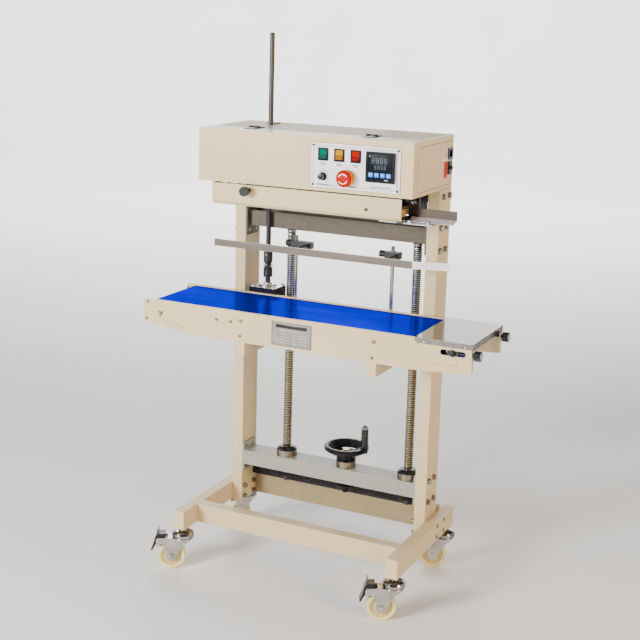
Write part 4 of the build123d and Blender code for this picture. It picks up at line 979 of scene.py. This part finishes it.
lead_screws()
chain()
panel_border()
panel_edge_shade()
panel_screws()
controller_face()
estop_marks()
dial_mark()
end_labels()
infeed_bearing()
guard_inner_shade()
hinge_screws()
rear_screws()
shaft_details()
nameplate_lines()
side_details()
castor_details()


# ------------------------------------------------------------------ stage

def flat_material(name, low, high):
    m = Material(name)
    m.set("Base Color", m.ramp(m.noise(2.0, 3.0), low, high))
    m.set("Roughness", m.spread(m.noise(12.0, 4.0), 0.55, 0.75))
    return m.material


def floor():
    """A pale round floor that sweeps up on every side, well away from the machine."""
    flat, sweep, top, steps = 8.0, 3.0, 7.0, 16
    profile = [(0, 0)] + [(flat * i / 4, 0.0) for i in range(1, 5)]
    for i in range(1, steps + 1):
        a = math.pi / 2 * i / steps
        profile.append((flat + sweep * math.sin(a), sweep - sweep * math.cos(a)))
    profile.append((flat + sweep, top))
    bm = bmesh.new()
    lathe(bm, Matrix.Identity(4), profile, 96)
    bmesh.ops.remove_doubles(bm, verts=bm.verts, dist=0.0005)
    mesh = bpy.data.meshes.new("floor")
    bm.to_mesh(mesh)
    bm.free()
    mesh.polygons.foreach_set("use_smooth", [True] * len(mesh.polygons))
    made = bpy.data.objects.new("floor", mesh)
    bpy.context.scene.collection.objects.link(made)
    mesh.materials.append(flat_material("floor_white", (0.92, 0.92, 0.92), (0.96, 0.96, 0.96)))


def softbox(name, location, aim, size, power, colour=(1.0, 1.0, 1.0)):
    light = bpy.data.lights.new(name, "AREA")
    light.shape = "RECTANGLE"
    light.size, light.size_y = size
    light.energy = power
    light.color = colour
    made = bpy.data.objects.new(name, light)
    bpy.context.scene.collection.objects.link(made)
    made.location = location
    made.rotation_euler = (Vector(aim) - Vector(location)).to_track_quat("-Z", "Y").to_euler()


def studio():
    world = bpy.data.worlds.new("studio")
    bpy.context.scene.world = world
    world.use_nodes = True
    world.node_tree.nodes["Background"].inputs["Color"].default_value = (0.96, 0.97, 1.0, 1.0)
    world.node_tree.nodes["Background"].inputs["Strength"].default_value = 0.10
    middle = (0.0, 0.0, 0.75)
    softbox("key_front_left", (-1.5, -3.7, 1.7), middle, (1.2, 1.0), 250, (0.98, 0.99, 1.0))
    softbox("fill_right", (3.4, -1.1, 1.5), middle, (1.2, 1.6), 78, (1.0, 0.66, 0.34))
    softbox("top", (0.2, 0.2, 3.4), middle, (1.8, 1.2), 10)
    softbox("rim_back", (-1.8, 2.8, 2.4), middle, (1.5, 1.0), 40)
    softbox("front_wash", (0.6, -5.0, 4.8), (0.0, -9.5, 0.8), (7.0, 1.0), 450)
    softbox("backdrop_wash", (-1.8, 4.4, 4.8), (-4.2, 9.5, 0.8), (7.0, 1.0), 1100)


def photo_camera():
    """The photograph's viewpoint: a fitted direction, a slight roll and an off-centre crop."""
    azimuth, elevation, roll = math.radians(26.19), math.radians(12.03), math.radians(1.47)
    away = math.cos(elevation)
    back = Vector((math.sin(azimuth) * away, -math.cos(azimuth) * away, math.sin(elevation)))
    right = (-back).cross(Vector((0, 0, 1))).normalized()
    up = right.cross(-back)
    turned_right = math.cos(roll) * right + math.sin(roll) * up
    turned_up = -math.sin(roll) * right + math.cos(roll) * up
    data = bpy.data.cameras.new("camera")
    data.sensor_width = 36.0
    data.lens = 71.46
    data.shift_x = 0.0246
    data.shift_y = -0.0675
    data.clip_end = 60.0
    made = bpy.data.objects.new("camera", data)
    bpy.context.scene.collection.objects.link(made)
    axes = Matrix((turned_right, turned_up, back)).transposed()
    made.matrix_world = Matrix.Translation(mm(1358.0, -2855.4, 1468.2)) @ axes.to_4x4()
    bpy.context.scene.camera = made


floor()
studio()
photo_camera()
